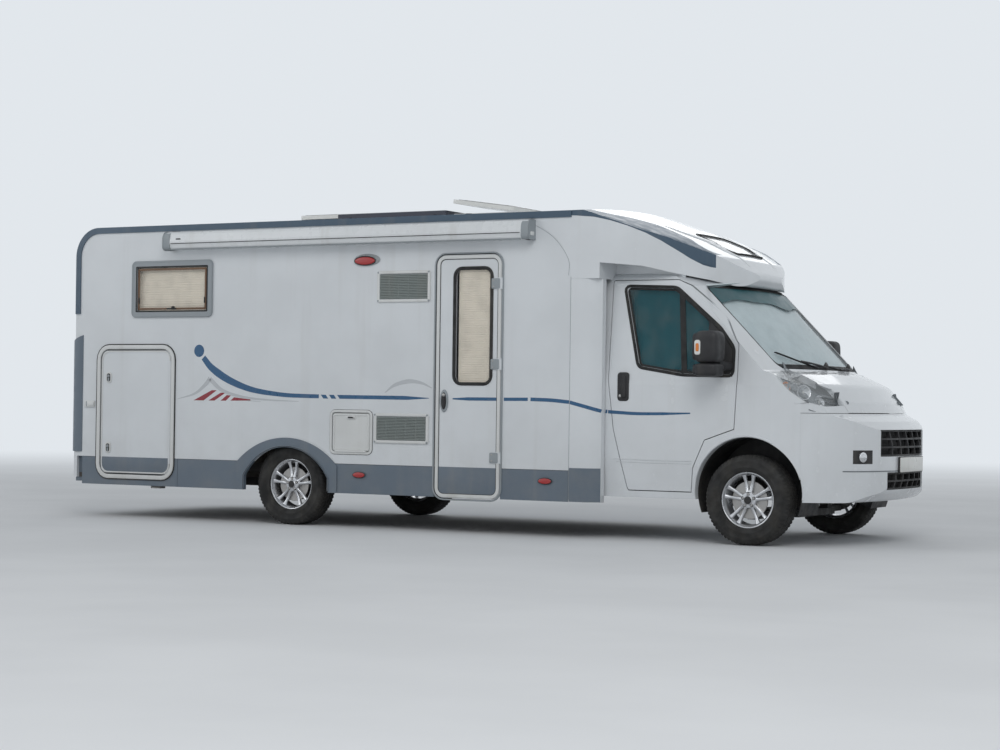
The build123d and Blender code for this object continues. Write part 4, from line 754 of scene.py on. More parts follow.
def makeVents(plan):
    # a frame round a panel of slanting slats and posts, with a turn button at each corner
    shape = Shape()
    proud, count = plan["ventProud"], plan["ventSlats"]
    # one slat: up as a share of the rise from slat to slat, and out
    slat = np.array([(-0.52, 0.0025), (-0.30, 0.0105), (0.05, 0.0118), (0.30, 0.0100), (0.46, 0.0045),
                     (0.40, 0.0025)])
    button = knobProfile(0.0075, proud + 0.0015, 0.0015, proud + 0.0028, proud + 0.003, 0.010)
    for x, z, w, h in plan["vents"]:
        centreX, centreZ = coach(x) + w / 2, z + h / 2
        middle = sideSpot(-1, centreX, centreZ)
        shape.flatBead(roundedLoop(w - 0.026, h - 0.026, 0.012), beadSection(0.026, proud, 7 / 12), middle, 0)
        shape.slab(roundedLoop(w - 0.03, h - 0.03, 0.010), 0.002, 0.0005, middle, 2)
        rise = (h - 0.060) / count
        for height in (np.arange(count) - (count - 1) / 2) * rise:
            rows = np.stack([np.stack([np.full(len(slat), edge), height + slat[:, 0] * rise, slat[:, 1]], -1)
                             for edge in (-w / 2 + 0.028, w / 2 - 0.028)])
            shape.grid(rows, middle, 1, closeColumns=True, caps=True)
        for post in np.linspace(-0.5, 0.5, 6)[1:-1]:
            shape.slab(roundedLoop(0.005, h - 0.05, 0.002, (post * (w - 0.05), 0)), 0.0095, 0.001, middle, 1)
        for hand in (-1, 1):
            for up in (-1, 1):
                corner = sideSpot(-1, centreX + hand * (w / 2 - 0.013), centreZ + up * (h / 2 - 0.013))
                shape.turned(button, corner, 2, 16)
    piece = shape.make("fridgeVentGrids", ["whitePlastic", "ventGrey", "frameGrey"], "root", 35,
                       "white_plastic")
    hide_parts("fridge_vents")


def makeWindowDress(plan):
    # a groove and a lip on each frame, the brown rim of the blind behind the pane, catches and stays
    shape = Shape()
    width, radius, behind = plan["frameWidth"], plan["windowCorner"], 0.006
    for side, *box in plan["windows"]:
        x, z, w, h = box
        frameBead(shape, side, box, radius, -0.010, 0.010, 0.0018, 1, plan["frameProud"])
        frameBead(shape, side, box, radius, -width + 0.006, 0.011, 0.0022, 0, plan["frameProud"])
        frameBead(shape, side, box, radius, -width - 0.016, 0.016, 0.0030, 2, behind)
        for share in (0.5,) if w < 1 else (0.3, 0.7):
            catch = sideSpot(side, coach(x) + w * share, z + width + 0.016, behind)
            shape.slab(roundedLoop(0.100, 0.016, 0.006), 0.010, 0.004, catch, 0)
            shape.slab(roundedLoop(0.030, 0.030, 0.006, (0.018, 0.006)), 0.012, 0.004, catch, 0)
        for edge in (x + width + 0.022, x + w - width - 0.022):
            stay = sideSpot(side, coach(edge), z + h * 0.30, behind)
            shape.slab(roundedLoop(0.012, 0.052, 0.005), 0.008, 0.003, stay, 0)
    shape.make("windowDress", ["rubber", "frameGrey", "brownFrame"], "root", 35, "frame_grey")


def pleatedBlind(name, spot, width, height, pitch, depth):
    # a folded cloth from a rail: its depth goes to and fro down its height
    folds = int(height / pitch) * 2 + 1
    down = np.linspace(height / 2, -height / 2, folds)
    across = np.linspace(-width / 2, width / 2, 9)
    out = np.where(np.arange(folds) % 2 == 0, 0.0, -depth)
    points = np.stack(np.broadcast_arrays(across[None], down[:, None], out[:, None]), -1)
    piece = Shape().grid(points, spot, 0).make(name, ["blindCream"], "root", 20, "rooflight")
    return piece


def makeBlinds(plan):
    # one behind each coach window, one behind the rear window and one behind the glass of the entry door
    for index, (side, x, z, w, h) in enumerate(plan["windows"]):
        middle = sideSpot(side, coach(x) + w / 2, z + h / 2, -plan["blindDepth"])
        pleatedBlind("windowBlind_%d" % index, middle, w - 0.120, h - 0.120, plan["pitch"], plan["pleat"])
    z, width, height = plan["rearBlind"]
    rear = rearSpot(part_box("rear_wall")[0].x + 0.040, 0, z, across=1)
    pleatedBlind("rearBlind", rear, width, height, plan["pitch"], plan["pleat"])
    x, z, w, h = plan["entryGlass"]
    middle = sideSpot(-1, coach(x) + w / 2, z + h / 2, -0.020)
    entry = pleatedBlind("entryBlind", middle, w - 0.05, h - 0.02, 0.018, 0.002)
    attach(entry, "entry_door")


def makeLamps(plan):
    # side markers with a clear rim over a red lens, and the red reflectors in the skirt
    shape = Shape()
    for side, x, z in plan["markers"]:
        place = sideSpot(side, coach(x), z)
        shape.slab(ovalLoop(0.250, 0.098, count=48), 0.013, 0.008, place, 0)
        shape.slab(ovalLoop(0.196, 0.066, (-0.016, -0.008), 44), 0.020, 0.011, place, 1, base=0.006)
        shape.flatBead(ovalLoop(0.198, 0.068, (-0.016, -0.008), 44), beadSection(0.005, 0.0145), place, 2)
    for side in (-1, 1):
        for x in plan["reflectors"]:
            place = sideSpot(side, coach(x), plan["reflectorLevel"], plan["skirtProud"])
            shape.slab(ovalLoop(0.124, 0.052, count=36), 0.0035, 0.001, place, 2)
            shape.slab(ovalLoop(0.112, 0.042, count=36), 0.008, 0.004, place, 1)
    shape.make("sideLamps", ["lensClear", "reflectorRed", "blackPlastic"], "root", 35, "lamp_lens")


def makeAwningDress():
    # end caps that follow the housing, the joint line and foot strip of the front bar, and a short dark pad
    # of painted shade where a slot opens
    low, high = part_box("awning_cassette")
    y, z, height, depth = low.y, low.z, high.z - low.z, high.y - low.y
    lowRound, highRound = 0.030, 0.058
    turn = np.linspace(0, math.pi / 2, 6)
    outline = np.concatenate([
        [[0.0, 0.0]], [[-depth + lowRound, 0.0]],
        np.stack([-depth + lowRound - lowRound * np.sin(turn), lowRound - lowRound * np.cos(turn)], 1),
        np.stack([-depth + highRound - highRound * np.cos(turn),
                  height - highRound + highRound * np.sin(turn)], 1),
        [[0.0, height]]]) - (0.0025, 0.0)
    shape = Shape()
    for end, way in ((low.x, 1), (high.x, -1)):
        spot = Spot((end - way * 0.004, high.y, z), (0, 1, 0), (0, 0, 1), (-way, 0, 0))
        shape.slab(outline, 0.016, 0.008, spot, 1, base=-0.052)
        mark = roundedLoop(0.060, 0.030, 0.010, (-depth / 2, height * 0.30))
        shape.slab(mark, 0.018, 0.002, spot, 2, base=0.010)
    run = np.array([[low.x + 0.06, y - 0.0004, z + 0.050], [high.x - 0.06, y - 0.0004, z + 0.050]])
    shape.bar(run, (0, 0, 1), (0, -1, 0), boxSection(0.0025, 0.0010), 3)
    shape.bar(run + (0, 0.020, -0.0505), (0, 0, 1), (0, -1, 0), boxSection(0.0025, 0.0080), 1)
    # painted shade for the inside of a slot: a thin dark rubber pad on the face of the housing
    slot = sideSpot(-1, coach(-1.06), z + 0.088, -y - halfWidth)
    shape.slab(roundedLoop(0.050, 0.009, 0.004), 0.0016, 0.0006, slot, 3)
    shape.make("awningDress", ["awningWhite", "frameGrey", "whitePlastic", "rubber"], "root", 35,
               "awning_white")


for side in (-1, 1):
    makeGarageDoor(side, coachPlan)
makeEntryDoor(coachPlan)
makeServiceFlap(coachPlan)
makeVents(coachPlan)
makeWindowDress(coachPlan)
makeBlinds(coachPlan)
makeLamps(coachPlan)
makeAwningDress()
print("coach dress done")


# coloured stripes on the sides

def skinOn(shape, points, node, way, finish=0, thick=0.0012, lift=0.0008):
    # a thin closed skin: a grid of points laid on a CAD node along a direction, and the same just below it
    top = ontoNode(points, node, way, lift)
    return shape.shell(top, top + np.array(way) * (thick + lift), finish)


def ribbon(path, widths, count=60, steps=4, shear=0.0):
    # a strip in x and z: a curve, plus its square direction times a share of the width from -0.5 to 0.5
    line = smoothPath(path, count)
    width = np.interp(np.linspace(0, 1, count), np.linspace(0, 1, len(widths)), widths)
    run = np.gradient(line, axis=0)
    run /= np.linalg.norm(run, axis=1, keepdims=True)
    square = np.stack([-run[:, 1], run[:, 0]], 1)
    share = np.linspace(-0.5, 0.5, steps + 1)
    flat = line[:, None] + square[:, None] * share[None, :, None] * width[:, None, None]
    flat[..., 0] += shear * share * width[:, None]
    return flat


def quad(corners, rows=8, columns=4):  # a grid between four corners given round the outline
    a, b, c, d = np.array(corners, float)
    u = np.linspace(0, 1, rows)[:, None, None]
    v = np.linspace(0, 1, columns)[None, :, None]
    return (1 - u) * ((1 - v) * a + v * d) + u * ((1 - v) * b + v * c)


def disc(x, z, radius, count=12):  # a square grid drawn out to a circle
    u, v = np.meshgrid(np.linspace(-1, 1, count), np.linspace(-1, 1, count), indexing="ij")
    return np.stack([x + radius * u * np.sqrt(1 - v * v / 2), z + radius * v * np.sqrt(1 - u * u / 2)], -1)


def sideGrid(flat):
    return np.stack([flat[..., 0], np.zeros(flat.shape[:-1]), flat[..., 1]], -1)


stripePlan = {
    # x from the rear axle and z, with widths along the path
    "curve": [(-0.862, 1.380), (-0.769, 1.290), (-0.588, 1.190), (-0.351, 1.113), (-0.059, 1.075),
              (0.160, 1.066), (0.320, 1.064)],
    "curveWidth": (0.050, 0.066, 0.056, 0.044, 0.036, 0.033, 0.032),
    "ball": (-0.908, 1.437, 0.052),
    "dashes": ((0.352, 0.400), (0.432, 0.480)),
    "slant": -0.8,
    "joint": (([(2.631, 0.300), (2.631, 1.200), (2.631, 2.000)], (0.004, 0.004)),
              ([(2.612, 2.010), (2.605, 2.139), (2.481, 2.303), (2.296, 2.417)], (0.003, 0.003))),
    "level": 1.062,
    "runWidth": 0.031,
    # the ribbon past the dashes on the right wall, the left wall and both: path, widths, steps, slanted ends
    "rightRuns": (([(0.512, 1.062), (1.375, 1.059)], (0.031, 0.031, 0.031, 0.031, 0.004), 30, True),
                  ([(2.056, 1.058), (2.268, 1.060)], (0.026, 0.026), 12, False)),
    "leftRuns": (([(0.512, 1.062), (2.268, 1.060)], (0.031, 0.026), 60, True),),
    "bothRuns": (([(2.292, 1.060), (2.470, 1.055), (2.628, 1.042)], (0.028, 0.028), 20, False),),
    "door": ([(1.592, 1.057), (2.018, 1.058)], (0.010, 0.026, 0.026, 0.026), 24),
    "column": ([(2.634, 1.041), (2.740, 1.016), (2.830, 0.990), (2.874, 0.9765)], (0.028, 0.027), 24),
    "pillar": ([(2.877, 0.976), (2.892, 0.974)], (0.027, 0.027), 6),
    "cabDoor": ([(2.899, 0.973), (3.130, 0.962), (3.360, 0.964), (3.584, 0.970)],
                (0.026, 0.024, 0.022, 0.010), 50),
    # slashes: four corners each
    "red": (((-0.960, 1.018), (-0.854, 1.018), (-0.718, 1.105), (-0.769, 1.105)),
            ((-0.803, 1.018), (-0.740, 1.018), (-0.625, 1.085), (-0.676, 1.085)),
            ((-0.676, 1.018), (-0.621, 1.018), (-0.570, 1.062), (-0.612, 1.065)),
            ((-0.574, 1.019), (-0.367, 1.022), (-0.367, 1.031), (-0.536, 1.048))),
    "swoosh": (([(-1.130, 1.028), (-0.950, 1.075), (-0.840, 1.150), (-0.790, 1.205)], (0.004, 0.020, 0.040)),
               ([(-0.790, 1.200), (-0.660, 1.105), (-0.450, 1.052), (-0.200, 1.030), (0.120, 1.020)],
                (0.040, 0.026, 0.018, 0.012, 0.004)),
               ([(-0.400, 1.022), (-0.330, 1.018), (-0.261, 1.014)], (0.008, 0.003)),
               ([(0.960, 1.100), (1.050, 1.160), (1.180, 1.192), (1.300, 1.180), (1.400, 1.140)],
                (0.006, 0.028, 0.034, 0.024, 0.006))),
}


def makeStripes(side, plan):
    # blue ribbons, red slashes, grey swooshes and joint lines, laid on each body that they cross
    hand, way = handOf(side), (0, -side, 0)
    names = ["stripeBlue", "stripeRed", "swooshGrey", "frameGrey"]

    def lay(shape, flat, node, finish=0):
        skinOn(shape, sideGrid(flat + (rearAxle.x, 0)), node, way, finish)

    wall, node = Shape(), "side_wall_" + hand
    for path, widths in plan["swoosh"]:
        if side < 0 or path[0][0] < 0.9:
            lay(wall, ribbon(path, widths, 40, 3), node, 2)
    for path, widths in plan["joint"]:
        lay(wall, ribbon(path, widths, 40, 2), node, 3)
    lay(wall, disc(*plan["ball"]), node)
    lay(wall, ribbon(plan["curve"], plan["curveWidth"], 70), node)
    for start, end in plan["dashes"]:
        ends = [(start, plan["level"]), (end, plan["level"])]
        lay(wall, ribbon(ends, (plan["runWidth"],) * 2, 6, 4, plan["slant"]), node)
    for corners in plan["red"]:
        lay(wall, quad(corners), node, 1)
    for path, widths, count, slanted in plan[hand + "Runs"] + plan["bothRuns"]:
        lay(wall, ribbon(path, widths, count, 4, plan["slant"] if slanted else 0.0), node)
    wall.make("wallStripes_" + hand, names, "root", 40, "trim_blue")

    bodies = [("columnStripe_" + hand, "column", "corner_columns", "root"),
              ("pillarStripe_" + hand, "pillar", "cab_body", "root"),
              ("cabDoorStripe_" + hand, "cabDoor", "cab_door_" + hand, "cab_door_" + hand)]
    if side < 0:
        bodies.insert(0, ("entryDoorStripe", "door", "entry_door", "entry_door"))
    for name, stripe, node, body in bodies:
        piece = Shape()
        lay(piece, ribbon(*plan[stripe]), node)
        piece.make(name, names, body, 40, "trim_blue")


for side in (-1, 1):
    makeStripes(side, stripePlan)
print("stripes done")


# cab: doors, mirrors, screen, lamps, bumper

cabPlan = {
    # outlines: x from the front axle and z
    "window": [(-1.028, 1.923), (-0.883, 1.325), (-0.520, 1.268), (-0.125, 1.262), (-0.125, 1.455),
               (-0.240, 1.602), (-0.610, 1.908)],
    "windowCorner": 0.030,
    "divider": ((-0.567, 1.905), (-0.511, 1.272)),
    "dividerWidth": 0.044,
    "corner": [(-0.330, 1.270), (-0.131, 1.267), (-0.131, 1.452), (-0.330, 1.678)],
    "waistRail": [(-0.880, 1.312), (-0.520, 1.256), (-0.118, 1.250)],
    "handle": (-1.010, 1.165, 0.084, 0.205),
    "creases": (((-1.085, 0.617), (-0.700, 0.612), (-0.440, 0.612)),
                ((-1.060, 0.596), (-0.700, 0.592), (-0.445, 0.592))),
    "mirror": (-0.225, 1.205, 1.410),
    # housings: forwards, outwards and up from the mirror's middle, half sizes, count of points
    "mirrorHousings": ((0.006, 0.0, 0.050, (0.094, 0.098, 0.120), 30),
                       (0.002, -0.002, -0.118, (0.090, 0.094, 0.050), 26)),
    # plates on their rear faces: up, width, height, corner, thickness, edge, finish, base
    "mirrorPlates": ((0.050, 0.168, 0.200, 0.040, 0.010, 0.004, 0, -0.02),
                     (0.050, 0.148, 0.180, 0.034, 0.0125, 0.001, 1, 0.0),
                     (-0.118, 0.160, 0.078, 0.028, 0.008, 0.003, 0, -0.02),
                     (-0.118, 0.142, 0.060, 0.022, 0.0105, 0.001, 1, 0.0)),
    "lampLow": [(0.195, 1.309), (0.252, 1.228), (0.326, 1.149), (0.432, 1.073), (0.557, 1.037),
                (0.616, 1.045), (0.628, 1.062)],
    "lampHigh": [(0.200, 1.311), (0.240, 1.307), (0.347, 1.251), (0.430, 1.207), (0.510, 1.160),
                 (0.575, 1.112), (0.628, 1.066)],
    # inside a lens: place along it and up it, radius, finish of the bowl
    "bowls": ((22, 6, 0.052, 1), (30, 6, 0.044, 1), (11, 6, 0.030, 3)),
    # the windscreen's half width, foot, top and corner, as seen from the front
    "screen": (0.815, 1.318, 1.950, 0.060),
    "cowlFoot": 1.300,
    # pivot's y, then the blade's tip and heel in y and z
    "wipers": ((-0.150, (-0.700, 1.435), (-0.300, 1.325)), (0.420, (-0.120, 1.345), (0.300, 1.312))),
    "wiperFoot": 1.326,
    "archRadius": 0.415,
    "archCentre": (0.005, 0.385),
    "archDepth": (0.592, 0.960),
    "flareRadius": 0.424,
    "columnFoot": (0.283, 0.540),
}


def cornerPath(points, radius, steps=6):
    # a closed outline whose corners are eased: a curve between the points that lie the radius off each one
    points = np.array(points, float)
    before, after = np.roll(points, 1, 0), np.roll(points, -1, 0)
    reach = lambda a, b: a + (b - a) * radius / np.linalg.norm(b - a, axis=1, keepdims=True)
    start, end = reach(points, before), reach(points, after)
    t = np.linspace(0, 1, steps)[None, :, None]
    curve = (1 - t) ** 2 * start[:, None] + 2 * t * (1 - t) * points[:, None] + t ** 2 * end[:, None]
    return curve.reshape(-1, 2)


def evenLoop(outline, count):  # the same outline at even steps of length
    loop = np.concatenate([outline, outline[:1]])
    length = np.concatenate([[0], np.cumsum(np.linalg.norm(np.diff(loop, axis=0), axis=1))])
    even = np.linspace(0, length[-1], count, endpoint=False)
    return np.stack([np.interp(even, length, loop[:, axis]) for axis in (0, 1)], 1)


def band(outline, low, high, steps=3):
    # rows round an outline, columns from its inward offset low to its inward offset high
    inward = inwardOf(outline)
    share = np.linspace(low, high, steps + 1)
    flat = outline[:, None] + inward[:, None] * share[None, :, None]
    return np.concatenate([flat, flat[:1]])


def strand(shape, points, node, way, radius, finish=0, lift=0.0, count=8):
    # a round bar along points laid on a CAD node
    return tubeAlong(shape, ontoNode(points, node, way, lift), radius, finish, count)


def cabRun(points, count=40):  # a smooth run through (x, z) points from the front axle, in space on the side
    return sideGrid(smoothPath(np.array(points, float), count) + (frontAxle.x, 0))


def makeCabDoor(side, plan):
    # seal round the window, divider, black corner, waist rail, handle with its lock, and two creases low down
    hand = handOf(side)
    body, glass, way = "cab_door_" + hand, "cab_glass_" + hand, (0, -side, 0)
    toAxle = (frontAxle.x, 0)
    window = evenLoop(cornerPath(plan["window"], plan["windowCorner"]), 180) + toAxle
    shape = Shape()
    skinOn(shape, sideGrid(band(window, -0.024, -0.001)), body, way, 0, 0.003, 0.0035)
    skinOn(shape, sideGrid(band(window, 0.001, 0.016)), glass, way, 0, 0.002, 0.003)
    top, foot = np.array(plan["divider"])
    run = top + (foot - top) * np.linspace(0, 1, 30)[:, None]
    across = np.array([-0.5, -0.25, 0, 0.25, 0.5])[None, :, None] * np.array([plan["dividerWidth"], 0.003])
    skinOn(shape, sideGrid(run[:, None] + across + toAxle), glass, way, 0, 0.003, 0.004)
    skinOn(shape, sideGrid(quad(plan["corner"], 16, 12) + toAxle), glass, way, 1, 0.003, 0.006)
    strand(shape, cabRun(plan["waistRail"]), body, way, 0.0045, 0, 0.002)
    x, z, w, h = plan["handle"]
    x += frontAxle.x
    pad = [(x - w / 2, z - h / 2), (x + w / 2, z - h / 2), (x + w / 2, z + h / 2), (x - w / 2, z + h / 2)]
    skinOn(shape, sideGrid(quad(pad, 10, 12)), body, way, 1, 0.002, 0.0015)
    face = float(ontoNode(np.array([[x, 0, z]]), body, way, 0.0)[0, 1])
    place = outSpot(side, x, face, z)
    shape.slab(roundedLoop(w + 0.012, h + 0.014, 0.026), 0.006, 0.004, place, 1, base=-0.02)
    shape.slab(roundedLoop(w * 0.52, h * 0.86, 0.020, (0.006, 0)), 0.017, 0.010, place, 1, base=-0.01)
    lock = outSpot(side, x - 0.024, face, z - 0.070)
    shape.turned(knobProfile(0.011, 0.0075, 0.002, 0.0085, 0.0088), lock, 2, 20)
    for crease in plan["creases"]:
        strand(shape, cabRun(crease), body, way, 0.0028, 3, 0.0006)
    names = ["rubber", "blackPlastic", "steelBright", "cabWhite"]
    shape.make("cabDoorDress_" + hand, names, body, 40, "black_plastic")


def makeMirror(side, plan):
    # two rounded housings with their glasses on the rear faces, a side lamp and an arm to the door
    hand = handOf(side)
    x, y, z = plan["mirror"]
    x += frontAxle.x
    shape = Shape()
    for along, out, up, half, count in plan["mirrorHousings"]:
        middle = Spot((x + along, side * (y + out), z + up), (1, 0, 0), (0, side, 0), (0, 0, 1))
        shape.boulder(half, 0.42, middle, 0, count)
    for up, w, h, corner, thick, edge, finish, base in plan["mirrorPlates"]:
        rear = Spot((x - 0.087, side * y, z + up), (0, side, 0), (0, 0, 1), (-1, 0, 0))
        shape.slab(roundedLoop(w, h, corner), thick, edge, rear, finish, base=base)
    lamp = outSpot(side, x - 0.050, side * (y + 0.088), z + 0.045)
    shape.slab(roundedLoop(0.050, 0.110, 0.018), 0.012, 0.006, lamp, 2, base=-0.03)
    shape.slab(roundedLoop(0.026, 0.060, 0.010), 0.0165, 0.004, lamp, 3)
    arm = smoothPath([(x + 0.065, side * 1.000, z - 0.092), (x + 0.045, side * 1.060, z - 0.086),
                      (x + 0.020, side * 1.130, z - 0.072), (x, side * 1.180, z - 0.060)], 16)
    angle = np.linspace(0, 2 * math.pi, 20, endpoint=False)
    section = np.stack([0.048 * swollen(np.cos(angle), 0.6), 0.034 * swollen(np.sin(angle), 0.6)], 1)
    shape.bar(arm, (1, 0, 0), (0, 0, 1), section)
    piece = shape.make("mirrorHousing_" + hand, ["blackPlastic", "mirrorSilver", "opalWhite", "lampOrange"],
                       "cab_door_" + hand, 40, "black_plastic")
    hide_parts("mirror_" + hand)


def noseGrid(y, z):  # points in front of the nose at given places across and up
    y, z = np.broadcast_arrays(np.asarray(y, float), np.asarray(z, float))
    return np.stack([np.full(y.shape, cab(1.2)), y, z], -1)


def makeScreenDress(plan):
    # black edge of the windscreen, its wavy top band of painted shade and reflection in dark teal, cowl with
    # its ribs below it, wipers on it
    shape = Shape()
    node, back = "windscreen", (-1, 0, 0)
    half, low, high, radius = plan["screen"]
    outline = roundedLoop(2 * half, high - low, radius, (0, (high + low) / 2), 8)
    rim = band(evenLoop(outline, 260), 0.001, 0.026)
    skinOn(shape, noseGrid(rim[..., 0], rim[..., 1]), node, back, 0, 0.002, 0.0025)
    # the top band is painted shade and reflection: a dark teal skin with a wavy lower edge
    y = np.linspace(-half + 0.03, half - 0.03, 60)[:, None]
    sag = 0.135 + 0.022 * np.sin(5.0 * y + 0.6) + 0.008 * np.sin(13.0 * y)
    shade = noseGrid(y, high - 0.018 - (sag - 0.018) * np.linspace(1, 0, 7)[None])
    skinOn(shape, shade, node, back, 1, 0.001, 0.0015)
    y, foot = np.linspace(-0.80, 0.80, 80), plan["cowlFoot"]
    cowl = noseGrid(y[:, None], foot + np.linspace(0.012, 0.046, 5)[None])
    skinOn(shape, cowl, node, back, 2, 0.003, 0.006)
    for offset in (0.018, 0.028, 0.038):
        strand(shape, noseGrid(y[4:-4], foot + offset), node, back, 0.0022, 0, 0.0065)
    for pivot, tip, heel in plan["wipers"]:
        blade = smoothPath([tip, ((tip[0] + heel[0]) / 2, (tip[1] + heel[1]) / 2 - 0.006), heel], 26)
        strand(shape, noseGrid(blade[:, 0], blade[:, 1]), node, back, 0.0055, 0, 0.008)
        strand(shape, noseGrid(blade[:, 0], blade[:, 1]), node, back, 0.0038, 2, 0.020)
        middle, end = blade[len(blade) // 2], np.array([pivot, plan["wiperFoot"]])
        arm = smoothPath([middle, (middle + end) / 2 + (0, 0.0035), end], 20)
        strand(shape, noseGrid(arm[:, 0], arm[:, 1]), node, back, 0.0075, 2, 0.030)
        seat = ontoNode(noseGrid([end[0]], [end[1]]), node, back, 0.0)[0]
        hub = Spot(seat, (0, 1, 0), (0.5, 0, -0.87), (0.5, 0, 0.87))
        shape.turned(knobProfile(0.022, 0.030, 0.004, 0.036, 0.037, -0.01), hub, 2, 24)
    shape.make("screenDress", ["rubber", "screenPaintedShade", "blackPlastic"], "root", 40, "black_plastic")


def makeHeadlamp(side, plan):
    # inside each lens: a housing that follows its surface, two bright bowls with bulbs and an orange lamp
    low, high = smoothPath(plan["lampLow"], 40), smoothPath(plan["lampHigh"], 40)
    share = np.linspace(0, 1, 12)[None, :, None]
    flat = low[:, None] * (1 - share) + high[:, None] * share + (frontAxle.x, 0)
    lens = ontoNode(sideGrid(flat), "headlamps", (0, -side, 0), 0.0)
    lens[..., 1] = side * np.maximum(side * lens[..., 1], 0.44)
    normal = normalsOf(lens, (0.5, side, 0.6))
    shape = Shape()
    deep = lens - normal * 0.060
    shape.shell(deep, deep - normal * 0.004)
    t = np.linspace(0.05, 1, 12)
    for u, v, radius, finish in plan["bowls"]:
        centre = lens[u, v] - normal[u, v] * 0.052
        out = normal[u, v] * 0.5 + np.array([0.75, side * 0.35, 0.1])
        out /= np.linalg.norm(out)
        across = np.cross((0, 0, 1), out)
        across /= np.linalg.norm(across)
        ways = (across, np.cross(out, across), out)
        bowl = np.stack([radius * t, -0.030 + 0.036 * t ** 2], 1)
        outside = [[radius + 0.004, 0.007], [radius + 0.004, -0.010], [0.002, -0.036]]
        shape.turned(np.concatenate([bowl, outside]), Spot(centre, *ways), finish, 36, closed=True)
        bulb = Spot(centre - out * 0.012, *ways)
        shape.boulder((0.010, 0.010, 0.016), 1.0, bulb, max(finish, 2), 12)
    names = ["lampGrey", "chrome", "opalWhite", "lampOrange"]
    shape.make("headlampInside_" + handOf(side), names, "root", 40, "lamp_lens")


bumperPlan = {
    # radiator: x from the front axle, half width, levels of its fins, then its core's x, z and half height
    "fins": (0.735, 0.44, 0.425, 0.870, 0.0125),
    "core": (0.722, 0.647, 0.228),
    "fogPanel": (0.570, 0.730, 0.615, 0.715),
    "fogLamp": (0.655, 0.664),
    "plate": (0.605, 0.520, 0.110),
    "lipLevel": 0.560,
}


def makeBumperDress(plan):
    # radiator behind the grille, fog lamps on dark panels, a blank plate and the line of the lower lip
    node, back = "front_bumper", (-1, 0, 0)
    shape = Shape()
    x, half, low, high, step = plan["fins"]
    for level in np.arange(low, high, step):
        fin = [(cab(x), -half, level), (cab(x), half, level)]
        shape.bar(fin, (1, 0, 0), (0, 0, 1), boxSection(0.004, 0.0045))
    x, z, halfHeight = plan["core"]
    shape.bar([(cab(x), -half, z), (cab(x), half, z)], (1, 0, 0), (0, 0, 1), boxSection(0.010, halfHeight))
    inner, outer, low, high = plan["fogPanel"]
    y, z = plan["fogLamp"]
    for side in (-1, 1):
        panel = noseGrid(side * np.linspace(inner, outer, 14)[:, None], np.linspace(low, high, 8)[None])
        skinOn(shape, panel, node, back, 0, 0.003, 0.0018)
        out = np.array([0.88, side * 0.47, 0.0])
        seat = ontoNode(noseGrid([side * y], [z]), node, back, 0.0)[0]
        spot = Spot(seat, np.cross((0, 0, 1), out), (0, 0, 1), out)
        shape.turned(knobProfile(0.037, 0.004, 0.004, 0.007, 0.007, -0.02), spot, 3, 32)
        lens = np.array([(0.001, 0.006), (0.030, 0.006), (0.026, 0.010), (0.014, 0.012), (0.001, 0.0125)])
        shape.turned(lens, spot, 2, 32)
    z, width, height = plan["plate"]
    face = float(ontoNode(noseGrid([0.0], [z]), node, back, 0.0)[0, 0])
    plate = Spot((face, 0, z), (0, 1, 0), (0, 0, 1), (1, 0, 0))
    shape.slab(roundedLoop(width + 0.012, height + 0.012, 0.012), 0.006, 0.002, plate, 0, base=-0.006)
    shape.slab(roundedLoop(width, height, 0.010), 0.0085, 0.001, plate, 1)
    shape.make("bumperDress", ["blackPlastic", "plateWhite", "lensClear", "chrome"], "root", 40,
               "black_plastic")
    trim = Shape()
    line = noseGrid(np.linspace(-0.92, 0.92, 120)[8:-8], plan["lipLevel"])
    strand(trim, line, node, back, 0.004, 0, 0.0012)
    trim.make("bumperLine", ["lampGrey"], "root", 40, "black_plastic")


def makeColumnFoot(side, plan):
    # the grey-blue lower part of the rounded column
    low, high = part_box("corner_columns")
    x = np.linspace(low.x + 0.004, high.x - 0.0015, 24)[:, None]
    z = np.linspace(*plan["columnFoot"], 6)[None]
    flat = np.stack(np.broadcast_arrays(x, z), -1)
    shape = Shape()
    skinOn(shape, sideGrid(flat), "corner_columns", (0, -side, 0), 0, 0.001, 0.0012)
    shape.make("columnFoot_" + handOf(side), ["skirtGrey"], "root", 40, "skirt_grey")


def makeArchFlare(side, plan):
    # a rounded bead round the opening of the front arch, on the wing and on the bumper
    x, z = plan["archCentre"]
    radius = plan["flareRadius"]
    shape = Shape()
    for node, start, end in (("cab_body", 62, 194), ("front_bumper", -14, 14)):
        angle = np.radians(np.linspace(start, end, 40))
        points = sideGrid(np.stack([cab(x) + radius * np.cos(angle), z + radius * np.sin(angle)], 1))
        points = points[points[:, 2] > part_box(node)[0].z + 0.012]
        strand(shape, points, node, (0, -side, 0), 0.0085, 0, -0.002, 12)
    shape.make("archFlare_" + handOf(side), ["cabWhite"], "root", 50, "cab_white")


def makeArchLiner(side, plan):
    # a dark half drum inside each front wheel arch and the disc that closes it towards the engine
    x, z = plan["archCentre"]
    near, far = plan["archDepth"]
    radius = plan["archRadius"] - 0.0015
    angle = np.linspace(math.radians(-22), math.radians(202), 72)
    radial = np.stack([np.cos(angle), 0 * angle, np.sin(angle)], 1)
    ring = np.array([cab(x), 0, z]) + radius * radial
    drum = ring[:, None] + np.array([0, side, 0]) * np.linspace(near, far, 6)[None, :, None]
    shape = Shape()
    shape.shell(drum, drum - radial[:, None] * 0.003)
    level = radius * 0.995 * np.linspace(0, 1, 7)[None, :, None]
    wall = np.array([cab(x), side * (near + 0.001), z]) + level * radial[:, None]
    shape.shell(wall, wall + (0, side * 0.003, 0))
    shape.make("archLiner_" + handOf(side), ["blackPlastic"], "root", 40, "black_plastic")


